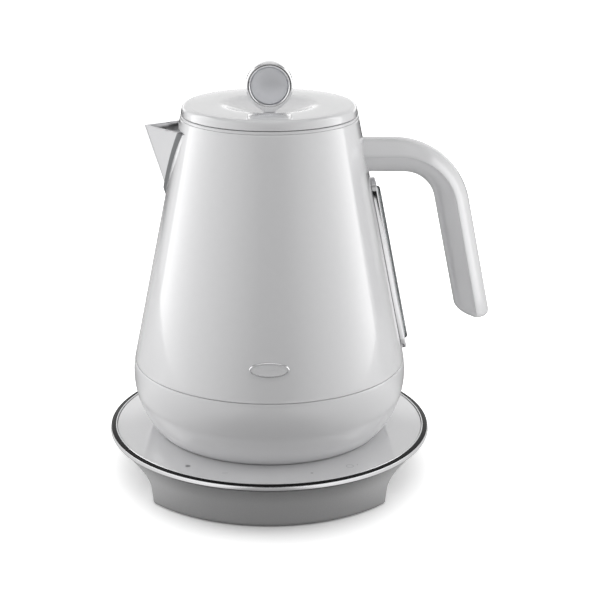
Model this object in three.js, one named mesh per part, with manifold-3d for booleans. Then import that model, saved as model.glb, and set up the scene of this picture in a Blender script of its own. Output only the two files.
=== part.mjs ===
// Electric kettle on its round power base: a free-standing jug with a lift-off lid,
// a fixed open-ended handle and a side water gauge, on a touch-control base with a
// 360 degree connector. Millimetres, +Z up. The origin is on the kettle's axis at
// the table. The spout points along -X, the handle along +X, the front is -Y.
import * as THREE from 'three';
import { mergeVertices } from 'three/addons/utils/BufferGeometryUtils.js';
import Module from 'manifold-3d';

const wasm = await Module();
wasm.setup();

// ---------------------------------------------------------------- driving dimensions
const GAP = 0.3;            // air between neighbouring pieces
const ROUND = 40;           // segments of the large round pieces
const FINE = 20;            // segments of the middle-sized round pieces
const SMALL = 12;           // segments of screws and other small round pieces

// power base
const RIM_R = 95;           // outer radius of the chrome rim
const RIM_Z = 23.5;         // underside of the rim and of the tray plate
const RIM_INNER_R = 91.2;
const RIM_LIP_R = 91.9;     // outside of the rim's thin inner lip
const RIM_LIP_TOP = 27.1;
const RIM_GROOVE_Z = 25.2;  // floor of the groove that holds the dark band
const RIM_BEAD_R = 94.1;    // inside of the rim's outer bead
const RIM_BEAD_TOP = 26.4;
const BAND_TOP = 26.9;      // inner edge of the sloping dark band
const TRAY_TOP = 26.8;
const BASE_TOP = RIM_Z - GAP;
const FOOT_R = 90;          // front and back walls of the foot are arcs of this radius
const FOOT_SIDE = 66;       // half width between the foot's two hollowed sides
const FOOT_WALL = 2.2;
const FLARE_START = 16;     // the round walls flare out above this height
const FLARE_MIDDLE = 19.5;
const COVE_START = 9.5;     // height where the foot's sides begin to curve outwards
const COVE_REACH = 26;
const COVE_STEPS = 6;
const COVE_WALL_DROP = 1.5; // the cove's inner face sits lower, so that the wall stays thick
const SIDE_TAPER = 0.13;
const HOUSING_Z = 0.6;      // lower edge of the foot's wall
const COVER_Z = 1.5;        // underside of the base's bottom cover
const COVER_TOP = 3.5;
const COVER_HOLE_R = 1.7;
const BASE_BOSS = { bore: 1.2, radius: 3.6, top: 12, webLength: 13, webHalf: 1 };
const BASE_SCREW = { z: 0.3, length: 9.4, head: 3, headHigh: 0.9, shank: 0.9 };
const SCREW_SPOTS = [[56, 30], [-56, 30], [56, -30], [-56, -30]];
const FOOT_SPOTS = [[50, 56], [-50, 56], [50, -56], [-50, -56]];
const PAD_R = 7;
const CENTRE_PAD_R = 12;
const GLAND = { z: 10.5, back: 5, bore: 3.4, body: 4.6, flange: 6, inside: 2, outside: 5.4, end: 7.4 };
const GLAND_HOLE_R = 5;
const POWER_BOARD = { low: [-34, 36, 7], high: [34, 68, 8.6] };
const BOARD_POSTS = [[30, 40], [-30, 40], [30, 64], [-30, 64]];
const BOARD_POST_R = 2.2;
const BOARD_THICK = 1.6;
const RELAY = { low: [-24, 42], high: [-5, 57], tall: 9 };
const BEEPER = { spot: [16, 52], radius: 6, tall: 5 };
const TOUCH_BOARD_R = 74;   // inner radius of the board under the touch marks
const TOUCH_BOARD_HALF = THREE.MathUtils.degToRad(38);
const FLANGE_R = 84;        // opening in the housing's top flange, with straight sides
const FLANGE_HALF = 72;
const TOWER_R = 14;         // connector tower in the middle of the tray
const TOWER_TOP = 32.6;
const TOWER_BOTTOM = 18;
const TOWER_FLANGE_R = 24;
const TOWER_EDGE = 1;
const SLOT = [7, 9.6];      // ring slot of the connector tower
const CENTRE_HOLE = 2.6;
const SLOT_FLOOR = 21;
const CONTACT_RING = [7.4, 9.2];
const CONTACT_RING_TOP = 26;
const CONTACT_PIN_R = 2.2;
const CONTACT_PIN_TOP = 24;

// connector in the kettle
const PLUG_PIN_R = 1.6;
const PLUG_PIN_LOW = 24.6;
const BLADE = [7.7, 8.9];
const BLADE_LOW = 26.5;
const PLUG_SKIRT = [15, 16.8];
const PLUG_SKIRT_LOW = 29.9;
const PLUG_CEILING = 36.5;
const PLUG_TOP = 42;
const PLUG_FLANGE_R = 21;
const PLUG_FLANGE = [33, 35.5];

// jug: one arc runs from the bottom edge into the straight cone
const JUG_BOTTOM = 28.1;
const ARC_R = 50;
const ARC_X = 30;           // centre of the arc
const ARC_Z = 60.5;
const CONE = THREE.MathUtils.degToRad(11.46);   // the cone's slope from the vertical
const SEAM_Z = 68.5;        // seam between the lower skirt and the painted body
const BODY_TOP = 211.2;
const BODY_WALL = 1.2;
const SKIRT_WALL = 2;
const SKIRT_LIP = 1.2;
const FLANGE_IN_R = 73;     // the body's lower edge is turned in to this radius
const FLANGE_THICK = 1.4;
const SHELL_LOW = 60;
const SHELL_HIGH = 225;
const BOSS_R = 50;
const BOSS_ANGLES = [90, 210, 330];
const BOSS = { bore: 1.4, radius: 4, low: 33, high: 46, webHalf: 1.2 };
const BOTTOM_SCREW = { z: 28.6, length: 12, head: 3, headHigh: 1.6, shank: 1 };
const BOTTOM_COVER = { low: 30.5, high: 32.5, hole: 17.3, bead: [57, 61], screwHole: 1.9 };
const HEATER_Z = 64.9;      // underside of the heater plate
const HEATER_THICK = 1.8;
const HEATER_R = 77.2;
const SEAL_RADII = [73.4, 77];
const SPREADER = { radius: 56, thick: 2 };
const ELEMENT = { radius: 46, tube: 3.4, open: THREE.MathUtils.degToRad(28), sides: 8, steps: 24 };
const SENSOR = { spot: [34, 0], low: 52, top: 72.5, tip: 1, body: 4.6, stem: 3, hole: 3.4 };
const CONTROL = { low: [-22, -17, 42.5], high: [22, 17, 58] };

// mouth and lid
const MOUTH_TOP = 212.8;
const COLLAR_R = 43.8;      // bore of the mouth collar
const COLLAR_BOTTOM = 206.2;
const COLLAR_WALL_R = 46.2;
const LID_BOTTOM = 213.4;
const LID_TOP = 218.8;
const LID_EDGE = 2.7;       // rounding of the lid's upper edge
const DISH_R = 26.5;        // shallow dish around the knob
const DISH_DEPTH = 5.5;
const CAP_WALL = 1.8;
const CAP_UNDER_R = 45.6;   // where the cap's flat underside ends
const CAP_SKIRT_R = 47.6;
const KNOB_SEAT_R = 6;
const TAB = { half: 12, near: 29, far: 44.5, thick: 0.9 };
const LINER_R = 41.6;
const LINER_FLOOR = 208;
const SEAL_Z = [207.6, 211.2];
const KNOB_Z = 229.1;       // centre of the knob's ring
const KNOB_R = 13.3;
const KNOB_BORE = 10.6;
const KNOB_THICK = 9;
const KNOB_NECK = 3.6;      // half width of the stem where it meets the lid
const KNOB_FOOT = LID_TOP - DISH_DEPTH + 0.6;
const KNOB_JOIN = THREE.MathUtils.degToRad(-51);
const LENS_BULGE = 4.6;     // half thickness of the knob's disc in the middle
const LENS_RIM = 2.8;
const KNOB_SCREW = { z: 208.9, length: 7.6, head: 3.5, headHigh: 2.3, shank: 1.6 };
const KNOB_SCREW_HOLE = { radius: 2, top: 216.9 };

// spout: a V channel between two flat faces that meet in a front ridge
const SPOUT_TIP = new THREE.Vector3(-70.5, 0, 206.4);
const SPOUT_FOOT = new THREE.Vector3(-59.2, 0, 170.3);
const SPOUT_HALF = 17.5;    // half width where the rim meets the body
const SPOUT_RIM_DROP = THREE.MathUtils.degToRad(2.4);
const SPOUT_WALL = 1.1;
const TRIM_WIDTH = 1;       // collar between the spout and the painted body
const TRIM_OUT = 2;
const SPOUT_TUCK = 3.1;     // how far the rim's half width is measured inside the wall
const HOLE_DROP = 12;       // the opening reaches this far below the ridge's foot
const FILTER = { high: 204, low: 172, half: 15, thick: 2.4, border: 2.6, inside: 5.4, mesh: 0.6 };

// handle: two outlines in the XZ plane, with their corner points and bend radii
const HANDLE_TOP = 199.4;
const HANDLE_BELOW = 179.7;
const GRIP_SLOPE = 0.2124;  // outward travel of the grip per mm downwards
const GRIP_OUTER_X = 114.6; // grip's outer and inner outline at GRIP_Z
const GRIP_INNER_X = 95;
const GRIP_Z = 162.6;
const BEND_OUTER = 45;
const BEND_INNER = 18.4;
const GRIP_END_Z = 99.5;    // where the rounded end begins
const GRIP_DOME = 6.6;
const HANDLE_HALF_WIDTH = 14;
const HANDLE_WALL = 2.2;
const CREASE = 2;           // power of the section's outline; it leaves a soft crease at the sides
const BEND_STEPS = 8;
const SECTION_STEPS = 8;
const HANDLE_ROOT = 46;
const ARM_Z = (HANDLE_TOP + HANDLE_BELOW) / 2;
const HANDLE_PAD = { thick: 3, high: 5.2, wide: 5.2 };
const STRAP = { thick: 2, half: 5, low: 4, high: 5.2 };
const BOLT_SPOTS = [-2.9, 2.9];
const BOLT_Z = ARM_Z + 3.4;
const BOLT = { hole: 1.5, holeLength: 12, shank: 1.2, length: 5, head: 2, headHigh: 2 };

// water gauge, measured along the cone's line at +X
const GAUGE_LOW = 72.8;
const GAUGE_HIGH = 176;
const GAUGE_WIDTH = 17;
const GAUGE_BORDER = 2.7;
const GAUGE_FRAME_OUT = 2.6;
const GAUGE_WINDOW_OUT = 4.4;
const GAUGE_SLOT_WIDTH = 8;
const GAUGE_SLOT_SHORTER = 10;
const GAUGE_DEPTH = 5;      // how far the gauge's cutters reach into the wall

const BADGE_Z = 87.3;
const BADGE_SIZE = [22, 8];
const BADGE_OUT = 1.1;

// ---------------------------------------------------------------- materials
const material = (color, roughness, metalness = 0) =>
  new THREE.MeshStandardMaterial({ color, roughness, metalness });
const PAINT = material(0xd4d4d6, 0.22);
const WHITE_PLASTIC = material(0xcfcfd1, 0.35);
const GREY_PLASTIC = material(0xa9a9ab, 0.5);
const DARK_PLASTIC = material(0x3a3a3c, 0.6);
const TRAY_GLOSS = material(0xdcdcde, 0.06);
const CHROME = material(0xe8e8ea, 0.06, 1);
const STEEL = material(0xc6c6c8, 0.25, 1);
const ALUMINIUM = material(0xb4b6b8, 0.4, 1);
const BRASS = material(0xb58d3d, 0.3, 1);
const RUBBER = material(0x2b2b2b, 0.9);
const SILICONE = material(0xe3e3df, 0.7);
const CLEAR = material(0xdfe6e8, 0.05);
const BOARD = material(0x1f5a36, 0.6);
const TRIM_GREY = material(0x6e7072, 0.35, 1);

// ---------------------------------------------------------------- solids
function closedMesh(geometry) {
  const bare = geometry.clone();
  bare.deleteAttribute('normal');
  bare.deleteAttribute('uv');
  const merged = mergeVertices(bare, 1e-4);
  const index = merged.index.array;
  const kept = [];
  for (let i = 0; i < index.length; i += 3) {
    const [a, b, c] = [index[i], index[i + 1], index[i + 2]];
    if (a !== b && b !== c && c !== a) kept.push(a, b, c);
  }
  return { points: merged.attributes.position.array, faces: kept };
}

function signedVolume({ points, faces }) {
  const corner = (i) => new THREE.Vector3().fromArray(points, 3 * i);
  let six = 0;
  for (let i = 0; i < faces.length; i += 3) {
    six += corner(faces[i]).dot(corner(faces[i + 1]).cross(corner(faces[i + 2])));
  }
  return six / 6;
}

function solid(geometry) {
  const mesh = closedMesh(geometry);
  if (signedVolume(mesh) < 0) mesh.faces.reverse();
  return new wasm.Manifold(new wasm.Mesh({
    numProp: 3,
    vertProperties: new Float32Array(mesh.points),
    triVerts: new Uint32Array(mesh.faces),
  }));
}

function piece(name, shape, finish) {
  const { vertProperties, triVerts } = shape.getMesh();
  const geometry = new THREE.BufferGeometry();
  geometry.setAttribute('position', new THREE.BufferAttribute(new Float32Array(vertProperties), 3));
  geometry.setIndex(new THREE.BufferAttribute(new Uint32Array(triVerts), 1));
  geometry.computeVertexNormals();
  const mesh = new THREE.Mesh(geometry, finish);
  mesh.name = name;
  return mesh;
}

// A round solid about the Z axis from an outline of [radius, height] points.
function turned(outline, segments = ROUND) {
  const closed = [...outline, outline[0]];
  const points = closed.map(([r, z]) => new THREE.Vector2(r, z));
  return solid(new THREE.LatheGeometry(points, segments).rotateX(Math.PI / 2));
}

function rod(radius, low, high, segments = SMALL) {
  return turned([[0, low], [radius, low], [radius, high], [0, high]], segments);
}

function ring(inner, outer, low, high, segments = ROUND) {
  return turned([[inner, low], [outer, low], [outer, high], [inner, high]], segments);
}

function box(low, high) {
  const [x, y, z] = [0, 1, 2].map((i) => high[i] - low[i]);
  const middle = [0, 1, 2].map((i) => (high[i] + low[i]) / 2);
  return solid(new THREE.BoxGeometry(x, y, z).translate(...middle));
}

const outlineShape = (points) => new THREE.Shape(points.map(([a, b]) => new THREE.Vector2(a, b)));

function extruded(shape, depth, matrix = new THREE.Matrix4(), curveSegments = 8) {
  const geometry = new THREE.ExtrudeGeometry(shape, { depth, bevelEnabled: false, curveSegments });
  return solid(geometry.applyMatrix4(matrix));
}

// An outline in the XZ plane, extruded along Y from -half to +half.
function slab(points, half) {
  const toXZ = new THREE.Matrix4().makeRotationX(Math.PI / 2).setPosition(0, half, 0);
  return extruded(outlineShape(points), 2 * half, toXZ);
}

function frameAt(origin, xAxis, yAxis, zAxis) {
  return new THREE.Matrix4().makeBasis(xAxis, yAxis, zAxis).setPosition(origin);
}

// A closed skin through equal loops of points, capped at both ends.
function lofted(loops) {
  const count = loops[0].length;
  const points = loops.flat();
  const faces = [];
  for (let k = 0; k + 1 < loops.length; k++) {
    for (let i = 0; i < count; i++) {
      const [a, b] = [k * count + i, k * count + ((i + 1) % count)];
      faces.push(a, b, b + count, a, b + count, a + count);
    }
  }
  const last = (loops.length - 1) * count;
  for (let i = 1; i + 1 < count; i++) {
    faces.push(0, i + 1, i, last, last + i, last + i + 1);
  }
  const geometry = new THREE.BufferGeometry();
  geometry.setAttribute('position', new THREE.Float32BufferAttribute(points.flat(), 3));
  geometry.setIndex(faces);
  return solid(geometry);
}

const turnedAbout = (shape, degrees) => shape.rotate([0, 0, degrees]);

function arc(cx, cy, radius, from, to, steps) {
  return Array.from({ length: steps + 1 }, (_, i) => {
    const angle = from + ((to - from) * i) / steps;
    return [cx + radius * Math.cos(angle), cy + radius * Math.sin(angle)];
  });
}

// ---------------------------------------------------------------- jug outline
const coneStart = {
  r: ARC_X + ARC_R * Math.cos(CONE),
  z: ARC_Z + ARC_R * Math.sin(CONE),
};

function jugRadius(z) {
  if (z > coneStart.z) return coneStart.r - (z - coneStart.z) * Math.tan(CONE);
  return ARC_X + Math.sqrt(ARC_R ** 2 - (z - ARC_Z) ** 2);
}

// The jug's outer outline between two heights, moved out by grow.
function jugOutline(low, high, grow, steps) {
  const bend = Math.min(high, coneStart.z);
  const points = [];
  for (let i = 0; i <= steps && low < bend; i++) {
    const z = low + ((bend - low) * i) / steps;
    points.push([jugRadius(z) + grow, z]);
  }
  if (high > coneStart.z) points.push([jugRadius(high) + grow, high]);
  return points;
}

// Everything inside the jug's outline grown by an amount: used to fit pieces to the wall.
function jugCore(grow) {
  return turned([[0, SHELL_LOW], ...jugOutline(SHELL_LOW, SHELL_HIGH, grow, 3), [0, SHELL_HIGH]]);
}

// ---------------------------------------------------------------- power base
function sideOffset(z) {
  const u = THREE.MathUtils.clamp((z - COVE_START) / (BASE_TOP - COVE_START), 0, 1);
  return FOOT_SIDE + SIDE_TAPER * z + COVE_REACH * (1 - Math.sqrt(1 - u * u));
}

// The foot: a round wall with a small flare, cut by two hollowed sides.
function footSolid(low, high, inset, drop) {
  const radius = FOOT_R - inset;
  const flare = RIM_R - FOOT_WALL - FOOT_R;
  const round = turned([[0, low], [radius, low], [radius, FLARE_START],
    [radius + flare / 4, FLARE_MIDDLE], [radius + flare, high], [0, high]]);
  const side = [[sideOffset(low) - inset, low]];
  for (let i = 0; i <= COVE_STEPS; i++) {
    const z = COVE_START + drop + ((high - COVE_START - drop) * i) / COVE_STEPS;
    side.push([sideOffset(z - drop) - inset, z]);
  }
  const mirrored = side.map(([x, z]) => [-x, z]).reverse();
  return round.intersect(slab([...side, ...mirrored], RIM_R));
}

function screwBoss([x, y]) {
  const { bore, radius, top, webLength, webHalf } = BASE_BOSS;
  const low = COVER_TOP + GAP;
  const start = x < 0 ? -webLength : 0;
  const web = box([start, -webHalf, low], [start + webLength, webHalf, top]);
  return ring(bore, radius, low, top, SMALL).add(web.subtract(rod(bore, 0, RIM_Z)))
    .translate([x, y, 0]);
}

function baseHousing() {
  const outside = footSolid(HOUSING_Z, BASE_TOP, 0, 0);
  const ceiling = BASE_TOP - FOOT_WALL;
  const cavity = footSolid(HOUSING_Z - 1, ceiling, FOOT_WALL, COVE_WALL_DROP);
  const flats = box([-FLANGE_HALF, -RIM_R, 0], [FLANGE_HALF, RIM_R, RIM_R]);
  const opening = rod(FLANGE_R, ceiling - GAP, RIM_Z, ROUND).intersect(flats);
  const bosses = wasm.Manifold.union(SCREW_SPOTS.map(screwBoss)).intersect(outside);
  return outside.subtract(cavity).subtract(opening).add(bosses).subtract(glandHole());
}

function alongY(shape, y, z) {
  return shape.rotate([-90, 0, 0]).translate([0, y, z]);
}

const glandHole = () => alongY(rod(GLAND_HOLE_R, -FOOT_WALL, GLAND.end), FOOT_R - GLAND.back, GLAND.z);

function cordGland() {
  const { z, back, bore, body, flange, inside, outside, end } = GLAND;
  const outline = [[bore, 0], [flange, 0], [flange, inside], [body, inside], [body, outside],
    [flange, outside], [flange - 1, end], [bore, end]];
  return alongY(turned(outline, SMALL), FOOT_R - back, z);
}

function baseBottomCover() {
  const inset = FOOT_WALL + 2 * GAP;
  const side = FOOT_SIDE - inset;
  let plate = rod(FOOT_R - inset, COVER_Z, COVER_TOP, ROUND);
  plate = plate.intersect(box([-side, -RIM_R, 0], [side, RIM_R, COVER_TOP + 1]));
  const hole = rod(COVER_HOLE_R, 0, COVER_TOP + 1);
  for (const [x, y] of SCREW_SPOTS) plate = plate.subtract(hole.translate([x, y, 0]));
  const post = rod(BOARD_POST_R, COVER_TOP - 0.5, POWER_BOARD.low[2] - GAP);
  for (const [x, y] of BOARD_POSTS) plate = plate.add(post.translate([x, y, 0]));
  return plate;
}

function screw({ length, head, headHigh, shank }) {
  return turned([[0, 0], [head, 0], [head, headHigh], [shank, headHigh], [shank, length],
    [0, length]], SMALL);
}

function rimRing() {
  return turned([[RIM_INNER_R, RIM_Z], [RIM_R - 0.4, RIM_Z], [RIM_R, RIM_Z + 0.5],
    [RIM_R - 0.3, RIM_BEAD_TOP - 0.6], [RIM_BEAD_R + 0.2, RIM_BEAD_TOP],
    [RIM_BEAD_R, RIM_BEAD_TOP], [RIM_BEAD_R, RIM_GROOVE_Z], [RIM_LIP_R, RIM_GROOVE_Z],
    [RIM_LIP_R, RIM_LIP_TOP], [RIM_INNER_R, RIM_LIP_TOP]]);
}

// Dark band in the rim's groove; its top slopes down from the lip to the bead.
function rimBand() {
  const [inner, outer, low] = [RIM_LIP_R + GAP, RIM_BEAD_R - GAP, RIM_GROOVE_Z + GAP];
  return turned([[inner, low], [outer, low], [outer, RIM_BEAD_TOP], [inner, BAND_TOP]]);
}

const trayPlate = () => ring(TOWER_R + 2 * GAP, RIM_INNER_R - GAP, RIM_Z, TRAY_TOP);

function socketPost() {
  const [inner, outer] = SLOT;
  return turned([[0, TOWER_BOTTOM], [TOWER_FLANGE_R, TOWER_BOTTOM], [TOWER_FLANGE_R, BASE_TOP],
    [TOWER_R, BASE_TOP], [TOWER_R, TOWER_TOP - TOWER_EDGE], [TOWER_R - TOWER_EDGE, TOWER_TOP],
    [outer, TOWER_TOP], [outer, SLOT_FLOOR], [inner, SLOT_FLOOR], [inner, TOWER_TOP],
    [CENTRE_HOLE, TOWER_TOP], [CENTRE_HOLE, SLOT_FLOOR], [0, SLOT_FLOOR]], FINE);
}

function touchBoard() {
  const start = -Math.PI / 2 - TOUCH_BOARD_HALF;
  const end = -Math.PI / 2 + TOUCH_BOARD_HALF;
  const outside = arc(0, 0, FLANGE_R - 2 * GAP, start, end, SMALL);
  const inside = arc(0, 0, TOUCH_BOARD_R, end, start, SMALL);
  const lift = new THREE.Matrix4().makeTranslation(0, 0, BASE_TOP - BOARD_THICK);
  return extruded(outlineShape([...outside, ...inside]), BOARD_THICK, lift);
}

function powerBase() {
  const boardTop = POWER_BOARD.high[2] + GAP;
  const contactLow = SLOT_FLOOR + GAP;
  const relay = box([...RELAY.low, boardTop], [...RELAY.high, boardTop + RELAY.tall]);
  const beeper = rod(BEEPER.radius, boardTop, boardTop + BEEPER.tall)
    .translate([...BEEPER.spot, 0]);
  const parts = [
    piece('base_housing', baseHousing(), GREY_PLASTIC),
    piece('base_bottom_cover', baseBottomCover(), DARK_PLASTIC),
    piece('rim_ring', rimRing(), CHROME),
    piece('rim_band', rimBand(), DARK_PLASTIC),
    piece('tray_plate', trayPlate(), TRAY_GLOSS),
    piece('socket_post', socketPost(), DARK_PLASTIC),
    piece('socket_contact_ring', ring(...CONTACT_RING, contactLow, CONTACT_RING_TOP, FINE), BRASS),
    piece('socket_contact_pin', rod(CONTACT_PIN_R, contactLow, CONTACT_PIN_TOP), BRASS),
    piece('touch_board', touchBoard(), BOARD),
    piece('power_board', box(POWER_BOARD.low, POWER_BOARD.high), BOARD),
    piece('power_relay', relay, DARK_PLASTIC),
    piece('beeper', beeper, DARK_PLASTIC),
    piece('cord_gland', cordGland(), RUBBER),
    piece('centre_foot', rod(CENTRE_PAD_R, 0, COVER_Z - GAP, FINE), RUBBER),
  ];
  const pad = rod(PAD_R, 0, COVER_Z - GAP);
  FOOT_SPOTS.forEach(([x, y], i) => {
    parts.push(piece(`base_foot_${i + 1}`, pad.translate([x, y, 0]), RUBBER));
  });
  const fixing = screw(BASE_SCREW);
  SCREW_SPOTS.forEach(([x, y], i) => {
    parts.push(piece(`base_screw_${i + 1}`, fixing.translate([x, y, BASE_SCREW.z]), STEEL));
  });
  return parts;
}

function kettlePlug() {
  const [bladeIn, bladeOut] = BLADE;
  const [skirtIn, skirtOut] = PLUG_SKIRT;
  const [flangeLow, flangeHigh] = PLUG_FLANGE;
  return turned([[0, PLUG_PIN_LOW], [PLUG_PIN_R, PLUG_PIN_LOW], [PLUG_PIN_R, PLUG_CEILING],
    [bladeIn, PLUG_CEILING], [bladeIn, BLADE_LOW], [bladeOut, BLADE_LOW],
    [bladeOut, PLUG_CEILING], [skirtIn, PLUG_CEILING], [skirtIn, PLUG_SKIRT_LOW],
    [skirtOut, PLUG_SKIRT_LOW], [skirtOut, flangeLow], [PLUG_FLANGE_R, flangeLow],
    [PLUG_FLANGE_R, flangeHigh], [skirtOut, flangeHigh], [skirtOut, PLUG_TOP], [0, PLUG_TOP]], FINE);
}

// ---------------------------------------------------------------- spout
// The wedge's section is a V with its point on the ridge; grow moves both faces outwards.
function spoutWedge(grow) {
  const down = SPOUT_FOOT.clone().sub(SPOUT_TIP).normalize();
  const inward = new THREE.Vector3(-down.z, 0, down.x);
  const rim = new THREE.Vector3(SPOUT_TUCK - jugRadius(SPOUT_TIP.z), 0, SPOUT_TIP.z).sub(SPOUT_TIP);
  const halfAngle = Math.atan(SPOUT_HALF / rim.dot(inward));
  const point = -grow / Math.sin(halfAngle);
  const length = 30;
  const spread = (length - point) * Math.tan(halfAngle);
  const section = outlineShape([[point, 0], [length, -spread], [length, spread]]);
  const across = new THREE.Vector3(0, 1, 0);
  const along = new THREE.Vector3().crossVectors(inward, across);
  const start = SPOUT_TIP.clone().addScaledVector(along, -90);
  return extruded(section, 140, frameAt(start, inward, across, along));
}

// Keeps what lies below the spout's rim, which falls slightly towards the body.
function underRim(shape, lift) {
  const normal = [Math.sin(SPOUT_RIM_DROP), 0, Math.cos(SPOUT_RIM_DROP)];
  const tipOffset = SPOUT_TIP.x * normal[0] + SPOUT_TIP.z * normal[2];
  return shape.trimByPlane(normal.map((n) => -n), -(tipOffset + lift));
}

const holeLow = SPOUT_FOOT.z - HOLE_DROP;

function spoutHole(grow) {
  return underRim(spoutWedge(grow), 0.3).trimByPlane([0, 0, 1], holeLow);
}

function spout() {
  const hollow = underRim(spoutWedge(0), 0).subtract(spoutWedge(-SPOUT_WALL));
  const outside = hollow.trimByPlane([0, 0, 1], holeLow).subtract(jugCore(-BODY_WALL - 0.6));
  return outside.trimByPlane([-1, 0, 0], 40);
}

function spoutTrim() {
  const band = jugCore(TRIM_OUT).subtract(jugCore(-BODY_WALL));
  const frame = underRim(spoutWedge(TRIM_WIDTH), 0).subtract(spoutWedge(GAP));
  return frame.intersect(band).trimByPlane([-1, 0, 0], 40);
}

// ---------------------------------------------------------------- limescale filter
function filterPlate(half, low, high, thick, back) {
  const xAt = (z) => -jugRadius(z) + BODY_WALL + FILTER.inside + back;
  const corner = (z, offset) => [xAt(z) + offset, z];
  const outline = [corner(low, 0), corner(low, thick), corner(high, thick), corner(high, 0)];
  return slab(outline, half);
}

function filterFrame() {
  const { high, low, half, thick, border } = FILTER;
  const opening = filterPlate(half - border, low + border, high - border, thick + 2, -1);
  return filterPlate(half, low, high, thick, 0).subtract(opening);
}

function filterMesh() {
  const { high, low, half, border } = FILTER;
  const inset = border + GAP;
  return filterPlate(half - inset, low + inset, high - inset, FILTER.mesh, 3 * GAP);
}

// ---------------------------------------------------------------- water gauge
function gaugeFrame() {
  const up = new THREE.Vector3(-Math.tan(CONE), 0, 1).normalize();
  const out = new THREE.Vector3(up.z, 0, -up.x);
  const middle = (GAUGE_LOW + GAUGE_HIGH) / 2;
  const origin = new THREE.Vector3(jugRadius(middle), 0, middle);
  return { up, out, origin, length: (GAUGE_HIGH - GAUGE_LOW) / up.z };
}

// A bar with round ends that stands on the wall, between two offsets along its normal.
function gaugeBar(width, length, from, to) {
  const { up, out, origin } = gaugeFrame();
  const r = width / 2;
  const straight = length / 2 - r;
  const shape = new THREE.Shape();
  shape.absarc(0, straight, r, 0, Math.PI, false);
  shape.absarc(0, -straight, r, Math.PI, 2 * Math.PI, false);
  const start = origin.clone().addScaledVector(out, from);
  return extruded(shape, to - from, frameAt(start, new THREE.Vector3(0, 1, 0), up, out), 6);
}

const gaugeLength = gaugeFrame().length;
const windowSize = [GAUGE_WIDTH - 2 * (GAUGE_BORDER + GAP),
  gaugeLength - 4 * GAUGE_BORDER - 2 * GAP];
const slotLength = windowSize[1] - GAUGE_SLOT_SHORTER;

function gaugeSurround() {
  const [width, length] = windowSize.map((size) => size + 2 * GAP);
  const opening = gaugeBar(width, length, -GAUGE_DEPTH, GAUGE_DEPTH);
  return gaugeBar(GAUGE_WIDTH, gaugeLength, -2, GAUGE_FRAME_OUT).subtract(opening)
    .subtract(jugCore(GAP));
}

function gaugeWindow() {
  const cover = gaugeBar(...windowSize, -2, GAUGE_WINDOW_OUT).subtract(jugCore(BODY_WALL));
  const tongueSize = [GAUGE_SLOT_WIDTH - 2 * GAP, slotLength - 2 * GAP];
  const tongue = gaugeBar(...tongueSize, -GAUGE_DEPTH, GAUGE_FRAME_OUT)
    .subtract(jugCore(-BODY_WALL));
  return cover.add(tongue);
}

function gaugeSeal() {
  const outside = gaugeBar(windowSize[0] - GAP, windowSize[1] - 2 * GAP, -3, 4);
  const inside = gaugeBar(GAUGE_SLOT_WIDTH + GAP, slotLength + GAP, -GAUGE_DEPTH, GAUGE_DEPTH);
  return outside.subtract(inside).intersect(jugCore(BODY_WALL - GAP)).subtract(jugCore(GAP));
}

// ---------------------------------------------------------------- handle
// One side of the handle's outline: along the arm, round the bend, down the grip.
function handleOutline(armZ, gripX, radius, armX, endZ) {
  const cornerX = gripX + GRIP_SLOPE * (GRIP_Z - armZ);
  const gripAngle = Math.atan(GRIP_SLOPE);
  const turn = Math.PI / 2 - gripAngle;
  const centre = [cornerX - radius * Math.tan(turn / 2), armZ - radius];
  const bend = arc(...centre, radius, Math.PI / 2, gripAngle, BEND_STEPS);
  const grip = (z) => [gripX + GRIP_SLOPE * (GRIP_Z - z), z];
  return [[armX, armZ], ...bend, grip((GRIP_Z + endZ) / 2), grip(endZ)];
}

function handleStations(armX, endZ, dome) {
  const outer = handleOutline(HANDLE_TOP, GRIP_OUTER_X, BEND_OUTER, armX, endZ - 2);
  const inner = handleOutline(HANDLE_BELOW, GRIP_INNER_X, BEND_INNER, armX, endZ + 2);
  const stations = outer.map((o, i) => ({ o, i: inner[i], scale: 1 }));
  const { o, i } = stations[stations.length - 1];
  const down = [GRIP_SLOPE, -1].map((v) => v / Math.hypot(GRIP_SLOPE, 1));
  for (const t of [0.35, 0.65, 0.87, 0.98]) {
    const move = (p) => [p[0] + down[0] * dome * t, p[1] + down[1] * dome * t];
    stations.push({ o: move(o), i: move(i), scale: Math.sqrt(1 - t * t) });
  }
  return stations;
}

function sectionLoop({ o, i, scale }, inset) {
  const middle = [(o[0] + i[0]) / 2, (o[1] + i[1]) / 2];
  const half = Math.hypot(o[0] - i[0], o[1] - i[1]) / 2;
  const across = [(o[0] - i[0]) / (2 * half), (o[1] - i[1]) / (2 * half)];
  const depth = (half - inset) * scale;
  const width = (HANDLE_HALF_WIDTH - inset * 1.2) * scale;
  const loop = [];
  for (let k = 0; k < 2 * SECTION_STEPS; k++) {
    const side = k < SECTION_STEPS ? 1 : -1;
    const swing = -Math.PI / 2 + (Math.PI * (k % SECTION_STEPS)) / SECTION_STEPS;
    const y = Math.sin(swing) * side;
    const t = side * depth * (1 - Math.abs(y) ** CREASE);
    loop.push([middle[0] + across[0] * t, y * width, middle[1] + across[1] * t]);
  }
  return loop;
}

function handleSolid(armX, endZ, dome, inset) {
  return lofted(handleStations(armX, endZ, dome).map((s) => sectionLoop(s, inset)));
}

// The line half way between the two outlines, with the direction across the section.
function midline(stations) {
  return stations.map(({ o, i }) => {
    const length = Math.hypot(o[0] - i[0], o[1] - i[1]);
    const across = [(o[0] - i[0]) / length, (o[1] - i[1]) / length];
    return { across, middle: [(o[0] + i[0]) / 2, (o[1] + i[1]) / 2] };
  });
}

const beside = (line, offset) =>
  line.map(({ across, middle }) => middle.map((m, k) => m + across[k] * offset));

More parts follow.
